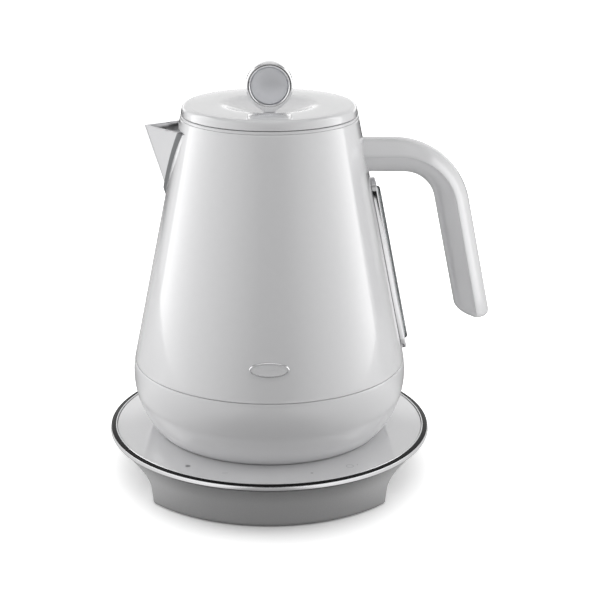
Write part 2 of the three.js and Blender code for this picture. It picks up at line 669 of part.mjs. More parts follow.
// The region on one side of the parting surface between the two handle shells.
function handleSide(sign) {
  const reach = 20;
  const line = midline(handleStations(HANDLE_ROOT - 4, GRIP_END_Z, GRIP_DOME + 8));
  const near = beside(line, (sign * GAP) / 2);
  if (sign > 0) return slab([...near, ...beside(line, reach).reverse()], reach);
  const start = line[0].middle;
  const end = line[line.length - 1].middle;
  return slab([...near, [end[0] - reach, end[1] - reach], [start[0], end[1] - reach]], reach);
}

function handleShell(sign) {
  const cavity = handleSolid(HANDLE_ROOT - 4, GRIP_END_Z + 6, 3, HANDLE_WALL);
  const whole = handleSolid(HANDLE_ROOT, GRIP_END_Z, GRIP_DOME, 0).subtract(cavity);
  return whole.intersect(handleSide(sign)).subtract(jugCore(GAP));
}

// Steel pad on the body, and the strap that carries the handle's two shells.
function handlePad() {
  const { thick, high, wide } = HANDLE_PAD;
  const face = jugRadius(ARM_Z) + thick;
  const pad = box([HANDLE_ROOT, -wide, ARM_Z - high], [face, wide, ARM_Z + high]);
  return withoutBoltHoles(pad.subtract(jugCore(GAP)));
}

function handleStrap() {
  const { thick, half, low, high } = STRAP;
  const start = jugRadius(ARM_Z) + HANDLE_PAD.thick + GAP;
  const foot = box([start, -half, ARM_Z - low], [start + thick, half, ARM_Z + high]);
  const line = midline(handleStations(start, GRIP_END_Z, GRIP_DOME)).slice(0, BEND_STEPS + 3);
  const arm = slab([...beside(line, thick / 2), ...beside(line, -thick / 2).reverse()], half);
  return withoutBoltHoles(foot.add(arm));
}

function boltRod(radius, start, length) {
  const x = jugRadius(ARM_Z) + HANDLE_PAD.thick + start;
  return rod(radius, 0, length).rotate([0, 90, 0]).translate([x, 0, BOLT_Z]);
}

function withoutBoltHoles(shape) {
  const hole = boltRod(BOLT.hole, -STRAP.thick, BOLT.holeLength);
  return shape.subtract(wasm.Manifold.union(BOLT_SPOTS.map((y) => hole.translate([0, y, 0]))));
}

function handleBolt(y) {
  const shank = boltRod(BOLT.shank, -STRAP.thick, BOLT.length);
  const head = boltRod(BOLT.head, STRAP.thick + 2 * GAP, BOLT.headHigh);
  return shank.add(head).translate([0, y, 0]);
}

// ---------------------------------------------------------------- jug
function bodyShell() {
  const low = SEAM_Z + GAP;
  const inner = jugOutline(low + FLANGE_THICK, BODY_TOP, -BODY_WALL, 2).reverse();
  const flange = [[FLANGE_IN_R, low + FLANGE_THICK], [FLANGE_IN_R, low]];
  const shell = turned([...jugOutline(low, BODY_TOP, 0, 2), ...inner, ...flange]);
  const slot = gaugeBar(GAUGE_SLOT_WIDTH, slotLength, -GAUGE_DEPTH, GAUGE_DEPTH);
  return shell.subtract(spoutHole(TRIM_WIDTH + GAP).trimByPlane([-1, 0, 0], 30)).subtract(slot);
}

function lowerSkirt() {
  const outer = jugOutline(JUG_BOTTOM, SEAM_Z, 0, 6);
  const inner = jugOutline(JUG_BOTTOM + SKIRT_LIP, SEAM_Z, -SKIRT_WALL, 5).reverse();
  return turned([...outer, ...inner, [inner[inner.length - 1][0], JUG_BOTTOM]])
    .add(skirtBosses());
}

function skirtBosses() {
  const { bore, radius, low, high, webHalf } = BOSS;
  const boss = ring(bore, radius, low, high, SMALL).translate([BOSS_R, 0, 0]);
  const web = box([BOSS_R + radius - 1, -webHalf, low], [jugRadius(low) - 1, webHalf, high]);
  const one = boss.add(web);
  return wasm.Manifold.union(BOSS_ANGLES.map((angle) => turnedAbout(one, angle)));
}

function kettleBottomCover() {
  const { low, high, hole, bead, screwHole } = BOTTOM_COVER;
  const edge = jugRadius(low) - SKIRT_WALL - 5 * GAP;
  const beadLow = TRAY_TOP + GAP;
  const cover = turned([[hole, low], [bead[0], low], [bead[0], beadLow], [bead[1], beadLow],
    [bead[1], low], [edge, low], [edge, high], [hole, high]]);
  const opening = rod(screwHole, JUG_BOTTOM, BOSS.low).translate([BOSS_R, 0, 0]);
  return cover.subtract(wasm.Manifold.union(BOSS_ANGLES.map((a) => turnedAbout(opening, a))));
}

function waterSensor() {
  const { spot, low, top, tip, body, stem } = SENSOR;
  const shoulder = HEATER_Z - GAP - SPREADER.thick - GAP;
  return turned([[0, low], [body, low], [body, shoulder], [stem, shoulder], [stem, top - tip],
    [stem - tip, top], [0, top]], SMALL).translate([...spot, 0]);
}

function heaterStack() {
  const hole = rod(SENSOR.hole, SHELL_LOW, SEAM_Z).translate([...SENSOR.spot, 0]);
  const plateTop = HEATER_Z + HEATER_THICK;
  const plate = rod(HEATER_R, HEATER_Z, plateTop, ROUND);
  const under = HEATER_Z - GAP;
  const spreader = rod(SPREADER.radius, under - SPREADER.thick, under, ROUND);
  return [
    piece('heater_plate', plate.subtract(hole), STEEL),
    piece('heater_seal', ring(...SEAL_RADII, plateTop + GAP, SEAM_Z), SILICONE),
    piece('heat_spreader', spreader.subtract(hole), ALUMINIUM),
    piece('heating_element', heatingElement(), STEEL),
    piece('water_sensor', waterSensor(), STEEL),
  ];
}

function heatingElement() {
  const { radius, tube, open, sides, steps } = ELEMENT;
  const z = HEATER_Z - 2 * GAP - SPREADER.thick - tube;
  const path = new THREE.CatmullRomCurve3(
    arc(0, 0, radius, open, 2 * Math.PI - open, 16).map(([x, y]) => new THREE.Vector3(x, y, z)));
  const section = outlineShape(arc(0, 0, tube, 0, 2 * Math.PI * (1 - 1 / sides), sides - 1));
  return solid(new THREE.ExtrudeGeometry(section, { steps, extrudePath: path }));
}

function mouthRing() {
  const lipLow = BODY_TOP + GAP;
  return turned([[COLLAR_R, COLLAR_BOTTOM], [COLLAR_WALL_R, COLLAR_BOTTOM],
    [COLLAR_WALL_R, lipLow], [jugRadius(lipLow), lipLow],
    [jugRadius(MOUTH_TOP) - 0.1, MOUTH_TOP - 0.2], [jugRadius(MOUTH_TOP) - 0.4, MOUTH_TOP],
    [COLLAR_R + 0.4, MOUTH_TOP], [COLLAR_R, MOUTH_TOP - 0.4]]);
}

function badge() {
  const shape = new THREE.Shape();
  shape.absellipse(0, 0, BADGE_SIZE[0] / 2, BADGE_SIZE[1] / 2, 0, 2 * Math.PI, false, 0);
  const middle = [0, -jugRadius(BADGE_Z), BADGE_Z];
  const upright = new THREE.Matrix4().makeRotationX(Math.PI / 2).setPosition(...middle);
  const plate = extruded(shape, BADGE_SIZE[0] / 2, upright, 6);
  const inward = extruded(shape, BADGE_SIZE[0] / 2, upright, 6).translate([0, BADGE_SIZE[0] / 2, 0]);
  return plate.add(inward).intersect(jugCore(BADGE_OUT)).subtract(jugCore(GAP));
}

function jug() {
  const parts = [
    piece('body_shell', bodyShell(), PAINT),
    piece('lower_skirt', lowerSkirt(), WHITE_PLASTIC),
    piece('kettle_bottom_cover', kettleBottomCover(), DARK_PLASTIC),
    ...heaterStack(),
    piece('control_block', box(CONTROL.low, CONTROL.high), DARK_PLASTIC),
    piece('mouth_ring', mouthRing(), WHITE_PLASTIC),
    piece('spout', spout(), STEEL),
    piece('spout_trim', spoutTrim(), TRIM_GREY),
    piece('filter_frame', filterFrame(), GREY_PLASTIC),
    piece('filter_mesh', filterMesh(), STEEL),
    piece('gauge_frame', gaugeSurround(), CHROME),
    piece('gauge_window', gaugeWindow(), CLEAR),
    piece('gauge_seal', gaugeSeal(), SILICONE),
    piece('handle_outer', handleShell(1), WHITE_PLASTIC),
    piece('handle_inner', handleShell(-1), WHITE_PLASTIC),
    piece('handle_pad', handlePad(), STEEL),
    piece('handle_strap', handleStrap(), STEEL),
    piece('badge', badge(), TRIM_GREY),
  ];
  BOLT_SPOTS.forEach((y, i) => {
    parts.push(piece(`handle_bolt_${i + 1}`, handleBolt(y), STEEL));
  });
  const fixing = screw(BOTTOM_SCREW).translate([BOSS_R, 0, BOTTOM_SCREW.z]);
  BOSS_ANGLES.forEach((angle, i) => {
    parts.push(piece(`bottom_screw_${i + 1}`, turnedAbout(fixing, angle), STEEL));
  });
  return parts;
}

// ---------------------------------------------------------------- lid
function dishArc(drop, steps) {
  const sphere = (DISH_R ** 2 + DISH_DEPTH ** 2) / (2 * DISH_DEPTH);
  const floor = LID_TOP - DISH_DEPTH;
  return Array.from({ length: steps + 1 }, (_, i) => {
    const r = DISH_R + ((KNOB_SEAT_R - DISH_R) * i) / steps;
    return [r, floor + sphere - Math.sqrt(sphere ** 2 - r ** 2) - drop];
  });
}

function lidCap() {
  const sideTop = LID_TOP - LID_EDGE;
  const edge = arc(jugRadius(sideTop) - LID_EDGE - 0.1, sideTop, LID_EDGE, CONE, Math.PI / 2, 3);
  const outer = [[jugRadius(LID_BOTTOM) - 0.1, LID_BOTTOM], ...edge];
  const under = LID_TOP - CAP_WALL;
  const seatZ = dishArc(0, 3)[3][1];
  const inner = [[0, seatZ - CAP_WALL], [KNOB_SEAT_R, seatZ - CAP_WALL],
    ...dishArc(CAP_WALL, 2).reverse().slice(1), [DISH_R + 2, under],
    [CAP_UNDER_R, under], [CAP_SKIRT_R - 0.4, under - 2], [CAP_SKIRT_R, LID_BOTTOM]];
  const cap = turned([...outer, ...dishArc(0, 3), [0, seatZ], ...inner]);
  return cap.subtract(lidTab(GAP)).subtract(rod(KNOB_SCREW_HOLE.radius, LINER_FLOOR, LID_TOP));
}

// Flat rectangular inlay in the lid's top, between the dish and the front edge.
function lidTab(grow) {
  const { half, near, far, thick } = TAB;
  const low = LID_TOP - thick - grow;
  const high = grow > 0 ? LID_TOP + 1 : LID_TOP;
  return box([-half - grow, -far - grow, low], [half + grow, -near + grow, high]);
}

function lidLiner() {
  const top = LID_TOP - CAP_WALL - GAP;
  const inside = LINER_R - CAP_WALL;
  return turned([[0, COLLAR_BOTTOM], [LINER_R - 1, COLLAR_BOTTOM], [LINER_R, COLLAR_BOTTOM + 1],
    [LINER_R, top], [inside, top], [inside, LINER_FLOOR], [0, LINER_FLOOR]]);
}

// The knob's plate: a ring that flares down into a narrow stem.
function knobRing() {
  const around = arc(0, KNOB_Z, KNOB_R, KNOB_JOIN, Math.PI - KNOB_JOIN, 28);
  const flare = [[0, 0], [0.3, 1], [1.4, 2.3], [3, 3.5]]
    .map(([x, z]) => [KNOB_NECK + x, KNOB_FOOT + z]);
  const left = flare.map(([x, z]) => [-x, z]).reverse();
  const plate = slab([...flare, ...around, ...left], KNOB_THICK / 2);
  const bore = alongY(rod(KNOB_BORE, -KNOB_THICK, KNOB_THICK, FINE), 0, KNOB_Z);
  return plate.subtract(bore).subtract(rod(KNOB_SCREW_HOLE.radius, LINER_FLOOR, KNOB_SCREW_HOLE.top));
}

function knobLens() {
  const r = KNOB_BORE - GAP;
  const rise = LENS_BULGE - LENS_RIM;
  const sphere = (r ** 2 + rise ** 2) / (2 * rise);
  const face = Array.from({ length: 6 }, (_, i) => {
    const radius = (r * i) / 5;
    return [radius, LENS_BULGE - sphere + Math.sqrt(sphere ** 2 - radius ** 2)];
  });
  const back = face.map(([radius, y]) => [radius, -y]);
  return alongY(turned([...back, ...face.reverse()], FINE), 0, KNOB_Z);
}

function lid() {
  const seal = ring(LINER_R + GAP, COLLAR_R - GAP, ...SEAL_Z);
  return [
    piece('lid_cap', lidCap(), PAINT),
    piece('lid_tab', lidTab(0), PAINT),
    piece('lid_liner', lidLiner(), GREY_PLASTIC),
    piece('lid_seal', seal, SILICONE),
    piece('knob_ring', knobRing(), CHROME),
    piece('knob_lens', knobLens(), CHROME),
    piece('knob_screw', screw(KNOB_SCREW).translate([0, 0, KNOB_SCREW.z]), STEEL),
  ];
}

// ---------------------------------------------------------------- assembly
const kettle = new THREE.Group();
kettle.add(...powerBase());
kettle.add(piece('kettle_plug', kettlePlug(), DARK_PLASTIC));
kettle.add(...jug());
kettle.add(...lid());

export default kettle;
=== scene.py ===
"""Looks of the electric kettle and its power base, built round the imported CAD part.

Outlines are in millimetres, in the part's own frame: the origin is on the kettle's axis at
the table, +Z is up, the spout points along -X, the handle along +X and the front is -Y.
"""

import math

import bmesh
import bpy
from mathutils import Matrix, Vector


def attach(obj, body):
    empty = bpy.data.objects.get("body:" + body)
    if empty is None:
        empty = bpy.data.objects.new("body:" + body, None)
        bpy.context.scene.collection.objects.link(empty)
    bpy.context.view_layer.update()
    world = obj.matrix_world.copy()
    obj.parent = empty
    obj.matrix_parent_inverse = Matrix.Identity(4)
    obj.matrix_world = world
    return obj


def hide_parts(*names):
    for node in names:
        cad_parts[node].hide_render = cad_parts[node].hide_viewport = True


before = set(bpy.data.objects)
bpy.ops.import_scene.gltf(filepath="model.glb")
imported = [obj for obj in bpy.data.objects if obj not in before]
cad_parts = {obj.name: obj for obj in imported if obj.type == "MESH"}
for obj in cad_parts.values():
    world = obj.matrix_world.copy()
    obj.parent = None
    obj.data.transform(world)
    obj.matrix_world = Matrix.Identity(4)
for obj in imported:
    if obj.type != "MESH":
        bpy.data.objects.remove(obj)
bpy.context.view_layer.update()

# ---------------- dimensions, as in the CAD
MM = 0.001
TURN = 2 * math.pi
GAP = 0.3
SEAM = 0.08                 # visible gap between pieces that touch on the real object
FINE = 256                  # segments of round pieces, from the widest to the smallest
ROUND = 192
MIDDLE = 96
SMALL = 48

RIM_R = 95
RIM_Z = 23.5
RIM_INNER_R = 91.2
RIM_LIP_R = 91.9
RIM_LIP_TOP = 27.1
RIM_GROOVE_Z = 25.2
RIM_BEAD_R = 94.5
RIM_BEAD_TOP = 26.4
BAND_TOP = 26.9
TRAY_TOP = 26.8
FOOT_R = 90
FOOT_TOP_R = 93
FOOT_SIDE = 66
FOOT_WALL = 2.2
FLARE_START = 14
HOUSING_Z = 0.6
BASE_TOP = RIM_Z - GAP
COVE_START = 9.5
COVE_REACH = 26
SIDE_TAPER = 0.13
CORNER = 1.6                # softness of the foot's four upright corners
SIDE_COLUMNS = 24
ARC_COLUMNS = 64
FLANGE = 0.8                # the housing's top flange reaches in to this share of its outline
GLAND_Z = 10.5
PAD_SPOTS = ((50, 56), (-50, 56), (50, -56), (-50, -56))
TOWER_R = 14
TOWER_TOP = 32.6

ARC_R = 50
ARC_X = 30
ARC_Z = 60.5
CONE = math.radians(11.46)
SEAM_Z = 68.5
BODY_TOP = 211.2
MOUTH_TOP = 212.8
COLLAR_R = 43.8
COLLAR_BOTTOM = 206.2
LID_BOTTOM = 213.4
LID_TOP = 218.8
LID_EDGE = 2.7
DISH_R = 26.5
DISH_DEPTH = 5.5
CAP_WALL = 1.8
KNOB_SEAT_R = 6
KNOB_Z = 229.1
KNOB_R = 13.3
KNOB_BORE = 10.6
KNOB_THICK = 9
KNOB_EDGE = 1.3
BORE_EDGE = 1.1
LENS_BULGE = 4.6
LENS_RIM = 3.5
LENS_EDGE = 1.2
TAB_HALF = 12
TAB_NEAR = 29
TAB_FAR = 44.5
TAB_CORNER = 1.8

SPOUT_TIP = Vector((-70.5, 0, 206.4))
SPOUT_FOOT = Vector((-59.2, 0, 170.3))
SPOUT_HALF = 17.5
SPOUT_RIM_DROP = math.radians(2.4)
SPOUT_WALL = 1.1
RIDGE_ROUND = 0.9
HALVINGS = 40               # steps of a search by halving
SPOUT_SINK = -1.6           # the spout's edge ends this far inside the wall's outside
TRIM_WIDTH = 1.0
TRIM_OUT = 2.0
TRIM_IN = -0.9

HANDLE_TOP = 199.4
HANDLE_BELOW = 179.7
GRIP_SLOPE = 0.2124
GRIP_OUTER_X = 114.6
GRIP_INNER_X = 95
GRIP_Z = 162.6
BEND_OUTER = 45
BEND_INNER = 18.4
GRIP_END_Z = 99.5
GRIP_DOME = 6.6
GRIP_TILT = 2               # the grip's outer edge ends this far below GRIP_END_Z
HANDLE_ROOT = 46
HANDLE_HALF_WIDTH = 14
CREASE = 2.0                # power of the section's curve
CREASE_OUT = 1.4            # the crease sits this far outside the section's middle
EASE = 1.4                  # softness of the crease between the handle's two halves
SECTION_STEPS = 36
GRIP_DOWN = Vector((GRIP_SLOPE, -1)).normalized()

GAUGE_LOW = 72.8
GAUGE_HIGH = 176
GAUGE_WIDTH = 17
GAUGE_BORDER = 2.7
GAUGE_FRAME_OUT = 2.6
GAUGE_WINDOW_OUT = 4.4
GAUGE_SLOT_WIDTH = 8
GAUGE_LOW_OUT = -2          # the gauge starts inside the wall
GAUGE_EDGE = 0.9
GAUGE_INNER_EDGE = 0.5
GAUGE_MARKS = 7
MARK_PITCH = 0.14           # as a share of the slot's length

BADGE_Z = 87.3
BADGE_SIZE = (22, 8)
BADGE_OUT = 1.1

SKIN = 0.8                  # paint and steel, outside the bare liner
UNDERSIDE_Z = 30.5
HEATER_Z = (64.9, 66.7)
STAND_R = (57, 61)          # the ring under the kettle that stands on the tray
SKIRT_WALL = 2

CONE_R = ARC_X + ARC_R * math.cos(CONE)
CONE_Z = ARC_Z + ARC_R * math.sin(CONE)


# ---------------- materials
def node(tree, kind, **sockets):
    made = tree.nodes.new(kind)
    for name, value in sockets.items():
        made.inputs[name.replace("_", " ")].default_value = value
    return made


def noise(tree, scale, stretch, detail=3.0):
    """Noise in the object's own frame, stretched along the axes."""
    place = tree.nodes.new("ShaderNodeTexCoord")
    size = node(tree, "ShaderNodeMapping", Scale=stretch)
    grain = node(tree, "ShaderNodeTexNoise", Scale=scale, Detail=detail)
    tree.links.new(place.outputs["Object"], size.inputs["Vector"])
    tree.links.new(size.outputs["Vector"], grain.inputs["Vector"])
    return grain.outputs["Fac"]


def mapped(tree, source, low, high, start=0.3, end=0.7):
    span = node(tree, "ShaderNodeMapRange", From_Min=start, From_Max=end, To_Min=low, To_Max=high)
    tree.links.new(source, span.inputs["Value"])
    return span.outputs["Result"]


def finish(name, colour, roughness, vary=0.03, rough_vary=0.04, grain=900, stretch=(1, 1, 1),
           mottle=60, bump=0.0, **constant):
    """A procedural finish: a base colour with slow and fine variation, uneven gloss and grain.

    Returns its name with the material, for the table below.
    """
    made = bpy.data.materials.new(name)
    made.use_nodes = True
    tree = made.node_tree
    shader = tree.nodes["Principled BSDF"]
    for socket, value in constant.items():
        shader.inputs[socket.replace("_", " ")].default_value = value
    fine = noise(tree, grain, stretch)
    slow = noise(tree, mottle, (1, 1, 1), 2.0)
    tint = tree.nodes.new("ShaderNodeMix")
    tint.data_type = "RGBA"
    tint.inputs["A"].default_value = [c * (1 - vary) for c in colour] + [1]
    tint.inputs["B"].default_value = [min(1, c * (1 + vary)) for c in colour] + [1]
    tree.links.new(mapped(tree, fine, 0, 1), tint.inputs["Factor"])
    tree.links.new(tint.outputs["Result"], shader.inputs["Base Color"])
    low, high = max(0.01, roughness - rough_vary), roughness + rough_vary
    tree.links.new(mapped(tree, slow, low, high), shader.inputs["Roughness"])
    if bump:
        rise = node(tree, "ShaderNodeBump", Strength=0.6, Distance=bump * MM)
        tree.links.new(fine, rise.inputs["Height"])
        tree.links.new(rise.outputs["Normal"], shader.inputs["Normal"])
    return name, made


BRUSHED = {"stretch": (1, 1, 30), "mottle": 90, "bump": 0.001, "Metallic": 1.0}
FINISH = dict([
    finish("paint", (0.82, 0.82, 0.83), 0.17, 0.006, 0.01, 260, bump=0.004, Coat_Weight=1.0,
           Coat_Roughness=0.05, IOR=1.6),
    finish("white_plastic", (0.79, 0.79, 0.80), 0.24, 0.006, 0.008, 1400, bump=0.003,
           Coat_Weight=0.7, Coat_Roughness=0.12, IOR=1.6),
    finish("grey_plastic", (0.61, 0.61, 0.615), 0.22, 0.03, 0.004, 1500, bump=0.004, IOR=2.3),
    finish("dark_plastic", (0.022, 0.022, 0.024), 0.5, 0.08, 0.05, 1500, bump=0.012),
    finish("tray_gloss", (0.68, 0.68, 0.69), 0.03, 0.006, 0.008, 500, IOR=3.0),
    finish("chrome", (0.84, 0.84, 0.85), 0.09, 0.01, 0.01, 500, Metallic=1.0),
    finish("satin_chrome", (0.93, 0.93, 0.94), 0.12, 0.01, 0.01, 900, Metallic=1.0),
    finish("disc_chrome", (0.86, 0.87, 0.9), 0.4, 0.01, 0.01, 900, Metallic=0.5),
    finish("satin_steel", (0.72, 0.72, 0.73), 0.3, 0.02, 0.02, 500, **BRUSHED),
    finish("steel", (0.86, 0.86, 0.87), 0.17, 0.02, 0.02, 500, **BRUSHED),
    finish("aluminium", (0.6, 0.61, 0.62), 0.4, 0.03, 0.06, 900, bump=0.01, Metallic=1.0),
    finish("brass", (0.68, 0.48, 0.2), 0.25, 0.05, 0.06, 900, bump=0.003, Metallic=1.0),
    finish("black_gloss", (0.004, 0.004, 0.0045), 0.2, 0.03, 0.01, 900, IOR=1.2),
    finish("rubber", (0.02, 0.02, 0.02), 0.75, 0.15, 0.08, 1800, bump=0.02),
    finish("silicone", (0.72, 0.72, 0.69), 0.55, 0.02, 0.05, 1200, bump=0.008),
    finish("clear", (0.93, 0.96, 0.97), 0.04, 0.004, 0.01, 300, Transmission_Weight=1.0, IOR=1.45),
    finish("board", (0.012, 0.09, 0.04), 0.45, 0.2, 0.06, 1500, bump=0.01),
    finish("trim_grey", (0.2, 0.205, 0.21), 0.3, 0.03, 0.04, 900, bump=0.003, Metallic=0.6),
    finish("badge_silver", (0.78, 0.78, 0.79), 0.4, 0.02, 0.01, 1400, bump=0.002),
    finish("mark", (0.27, 0.27, 0.28), 0.3, 0.02, 0.03, 900),
    finish("dark_mark", (0.05, 0.05, 0.055), 0.35, 0.05, 0.03, 900),
])


# ---------------- mesh helpers
SHARP = math.radians(32)


def place(name, points, faces, body, slot, nodes=(), look=None, sharp=SHARP):
    """A piece from points in millimetres. It rides on a body and may stand for CAD nodes."""
    mesh = bpy.data.meshes.new(name)
    mesh.from_pydata([Vector(p) * MM for p in points], [], faces)
    bm = bmesh.new()
    bm.from_mesh(mesh)
    bmesh.ops.remove_doubles(bm, verts=bm.verts, dist=1e-7)
    bmesh.ops.recalc_face_normals(bm, faces=bm.faces)
    bm.to_mesh(mesh)
    bm.free()
    smooth(mesh, sharp)
    mesh.materials.append(FINISH[look or slot])
    piece = bpy.data.objects.new(name, mesh)
    bpy.context.scene.collection.objects.link(piece)
    if body:
        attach(piece, body)
        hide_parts(*nodes)
    return piece


def smooth(mesh, sharp=SHARP):
    mesh.polygons.foreach_set("use_smooth", [True] * len(mesh.polygons))
    mesh.set_sharp_from_angle(angle=sharp)


def cutter(points, faces):
    """A closed mesh used to cut others, removed after use."""
    return place("cutter", points, faces, None, "steel")


def cut(piece, *cutters, sharp=SHARP):
    for tool in cutters:
        step = piece.modifiers.new("cut", "BOOLEAN")
        step.object = tool
        step.operation = "DIFFERENCE"
        step.solver = "EXACT"
    bpy.context.view_layer.update()
    made = piece.evaluated_get(bpy.context.evaluated_depsgraph_get())
    mesh = bpy.data.meshes.new_from_object(made)
    piece.modifiers.clear()
    piece.data = mesh
    smooth(mesh, sharp)
    for tool in cutters:
        bpy.data.objects.remove(tool)
    return piece


def filleted(corners, steps=4):
    """A closed outline of (a, b) or (a, b, radius) corners, with the given corners rounded."""
    made = []
    for i, (a, b, *rest) in enumerate(corners):
        here = Vector((a, b))
        if not rest:
            made.append(tuple(here))
            continue
        back = Vector(corners[i - 1][:2]) - here
        ahead = Vector(corners[(i + 1) % len(corners)][:2]) - here
        half = back.angle(ahead) / 2
        reach = min(rest[0] / math.tan(half), back.length * 0.48, ahead.length * 0.48)
        start, end = here + back.normalized() * reach, here + ahead.normalized() * reach
        middle = (back.normalized() + ahead.normalized()).normalized()
        centre = here + middle * (reach / math.cos(half))
        first, last = start - centre, end - centre
        turn = first.angle_signed(last)
        for k in range(steps + 1):
            angle = -turn * k / steps
            made.append(tuple(centre + Matrix.Rotation(angle, 2) @ first))
    return made


def turned(outline, segments=ROUND):
    """Points and faces of a closed (radius, height) outline turned about the Z axis."""
    points, rows = [], []
    for r, z in outline:
        if r < 1e-5:
            rows.append([len(points)] * segments)
            points.append((0, 0, z))
            continue
        rows.append(list(range(len(points), len(points) + segments)))
        for k in range(segments):
            angle = TURN * k / segments
            points.append((r * math.cos(angle), r * math.sin(angle), z))
    faces = []
    for row, following in zip(rows, rows[1:] + rows[:1]):
        for k in range(segments):
            n = (k + 1) % segments
            corners = [row[k], row[n], following[n], following[k]]
            face = [c for i, c in enumerate(corners) if c not in corners[:i]]
            if len(face) > 2:
                faces.append(face)
    return points, faces


def moved(mesh, matrix):
    points, faces = mesh
    return [matrix @ Vector(p) for p in points], faces


def at(x, y, z):
    return Matrix.Translation((x, y, z))


def rod(radius, low, high, segments=SMALL, edge=0.0):
    rim = (edge,) if edge else ()
    corners = [(0, low), (radius, low, *rim), (radius, high, *rim), (0, high)]
    return turned(filleted(corners, 3), segments)


def lofted(loops, close=False, caps=True):
    """A skin through equal closed loops of points. With close, the last loop meets the first."""
    count = len(loops[0])
    points = [p for loop in loops for p in loop]
    faces = []
    for k in range(len(loops) - (0 if close else 1)):
        one, two = k * count, ((k + 1) % len(loops)) * count
        for i in range(count):
            n = (i + 1) % count
            faces.append([one + i, one + n, two + n, two + i])
    if caps and not close:
        faces.append(list(range(count))[::-1])
        faces.append([(len(loops) - 1) * count + i for i in range(count)])
    return points, faces


def inset_loop(loop, distance):
    """A closed 2D loop moved inwards along its own normals; the loop runs anticlockwise."""
    made = []
    for i, point in enumerate(loop):
        back = (Vector(point) - Vector(loop[i - 1])).normalized()
        ahead = (Vector(loop[(i + 1) % len(loop)]) - Vector(point)).normalized()
        normal = Vector((-back.y - ahead.y, back.x + ahead.x)).normalized()
        lean = max(0.5, normal.dot(Vector((-back.y, back.x))))
        made.append(Vector(point) + normal * (distance / lean))
    return made


def plate(loop, low, high, edge_low=0.0, edge_high=0.3, steps=4):
    """Loops of a plate with rounded rims: (2D loop, height) pairs from low to high."""
    made = []
    for level, edge, side in ((low, edge_low, -1), (high, edge_high, 1)):
        rows = []
        for k in range(steps + 1):
            angle = math.pi / 2 * k / steps
            inset = edge * (1 - math.cos(angle))
            rows.append((inset_loop(loop, inset), level - side * edge * (1 - math.sin(angle))))
        made += rows if side > 0 else rows[::-1]
    return made


def plate_mesh(loop, low, high, matrix=Matrix(), **edges):
    loops = [[matrix @ Vector((*p, z)) for p in row] for row, z in plate(loop, low, high, **edges)]
    return lofted(loops)


def stadium(width, length, steps=20):
    """A closed loop with two straight sides and two half-round ends, long along the second axis."""
    radius, half = width / 2, (length - width) / 2
    made = []
    for centre, start in ((half, 0), (-half, math.pi)):
        for k in range(steps + 1):
            angle = start + math.pi * k / steps
            made.append((radius * math.cos(angle), centre + radius * math.sin(angle)))
    return made


# ---------------- jug outline
def jug_radius(z):
    if z > CONE_Z:
        return CONE_R - (z - CONE_Z) * math.tan(CONE)
    return ARC_X + math.sqrt(ARC_R ** 2 - (z - ARC_Z) ** 2)


def wall_line(low, high, grow=0.0, step=2.0):
    count = max(2, round((high - low) / step))
    return [(jug_radius(low + (high - low) * k / count) + grow, low + (high - low) * k / count)
            for k in range(count + 1)]


def jug_core(grow, low=60, high=225, segments=ROUND):
    return turned([(0, low), *wall_line(low, high, grow, 8), (0, high)], segments)


# ---------------- power base
def side_offset(z):
    u = min(1, max(0, (z - COVE_START) / (BASE_TOP - COVE_START)))
    return FOOT_SIDE + SIDE_TAPER * z + COVE_REACH * (1 - math.sqrt(1 - u * u))


def foot_radius(z):
    u = min(1, max(0, (z - FLARE_START) / (BASE_TOP - FLARE_START)))
    return FOOT_R + (FOOT_TOP_R - FOOT_R) * u * u


def foot_loop(z, inset, drop=0.0):
    """The foot's outline at a height: two round walls and two straight sides."""
    radius = foot_radius(z) - inset
    side = side_offset(z - drop) - inset
    corner = max(0.05, math.acos(min(1, side / radius)))
    angles = []
    for start, end, count in ((-corner, corner, SIDE_COLUMNS),
                              (corner, math.pi - corner, ARC_COLUMNS),
                              (math.pi - corner, math.pi + corner, SIDE_COLUMNS),
                              (math.pi + corner, TURN - corner, ARC_COLUMNS)):
        for k in range(count):
            even = k / count
            dense = (1 - math.cos(math.pi * even)) / 2
            angles.append(start + (end - start) * (0.25 * even + 0.75 * dense))
    made = []
    for angle in angles:
        flat = side / max(1e-6, abs(math.cos(angle)))
        near = max(0, CORNER - abs(radius - flat)) / CORNER
        reach = min(radius, flat) - near * near * CORNER / 4
        made.append((reach * math.cos(angle), reach * math.sin(angle), z))
    return made


def base_housing():
    outside = [(0.9, HOUSING_Z), (0.35, HOUSING_Z + 0.15), (0, HOUSING_Z + 0.8)]
    levels = [z for _, z in outside]
    loops = [foot_loop(z, inset) for inset, z in outside]
    rows = 26
    for k in range(1, rows + 1):
        u = k / rows
        z = levels[-1] + (BASE_TOP - 0.3 - levels[-1]) * (1 - (1 - u) ** 1.6)
        loops.append(foot_loop(z, 0))
    loops.append(foot_loop(BASE_TOP, 0.4))
    top = BASE_TOP - FOOT_WALL
    for level in (BASE_TOP, top):
        loops.append([(x * FLANGE, y * FLANGE, level) for x, y, _ in foot_loop(BASE_TOP, 2)])
    for k in range(9):
        z = top + (HOUSING_Z - top) * k / 8
        loops.append(foot_loop(z, FOOT_WALL, 1.5))
    return lofted(loops, close=True)


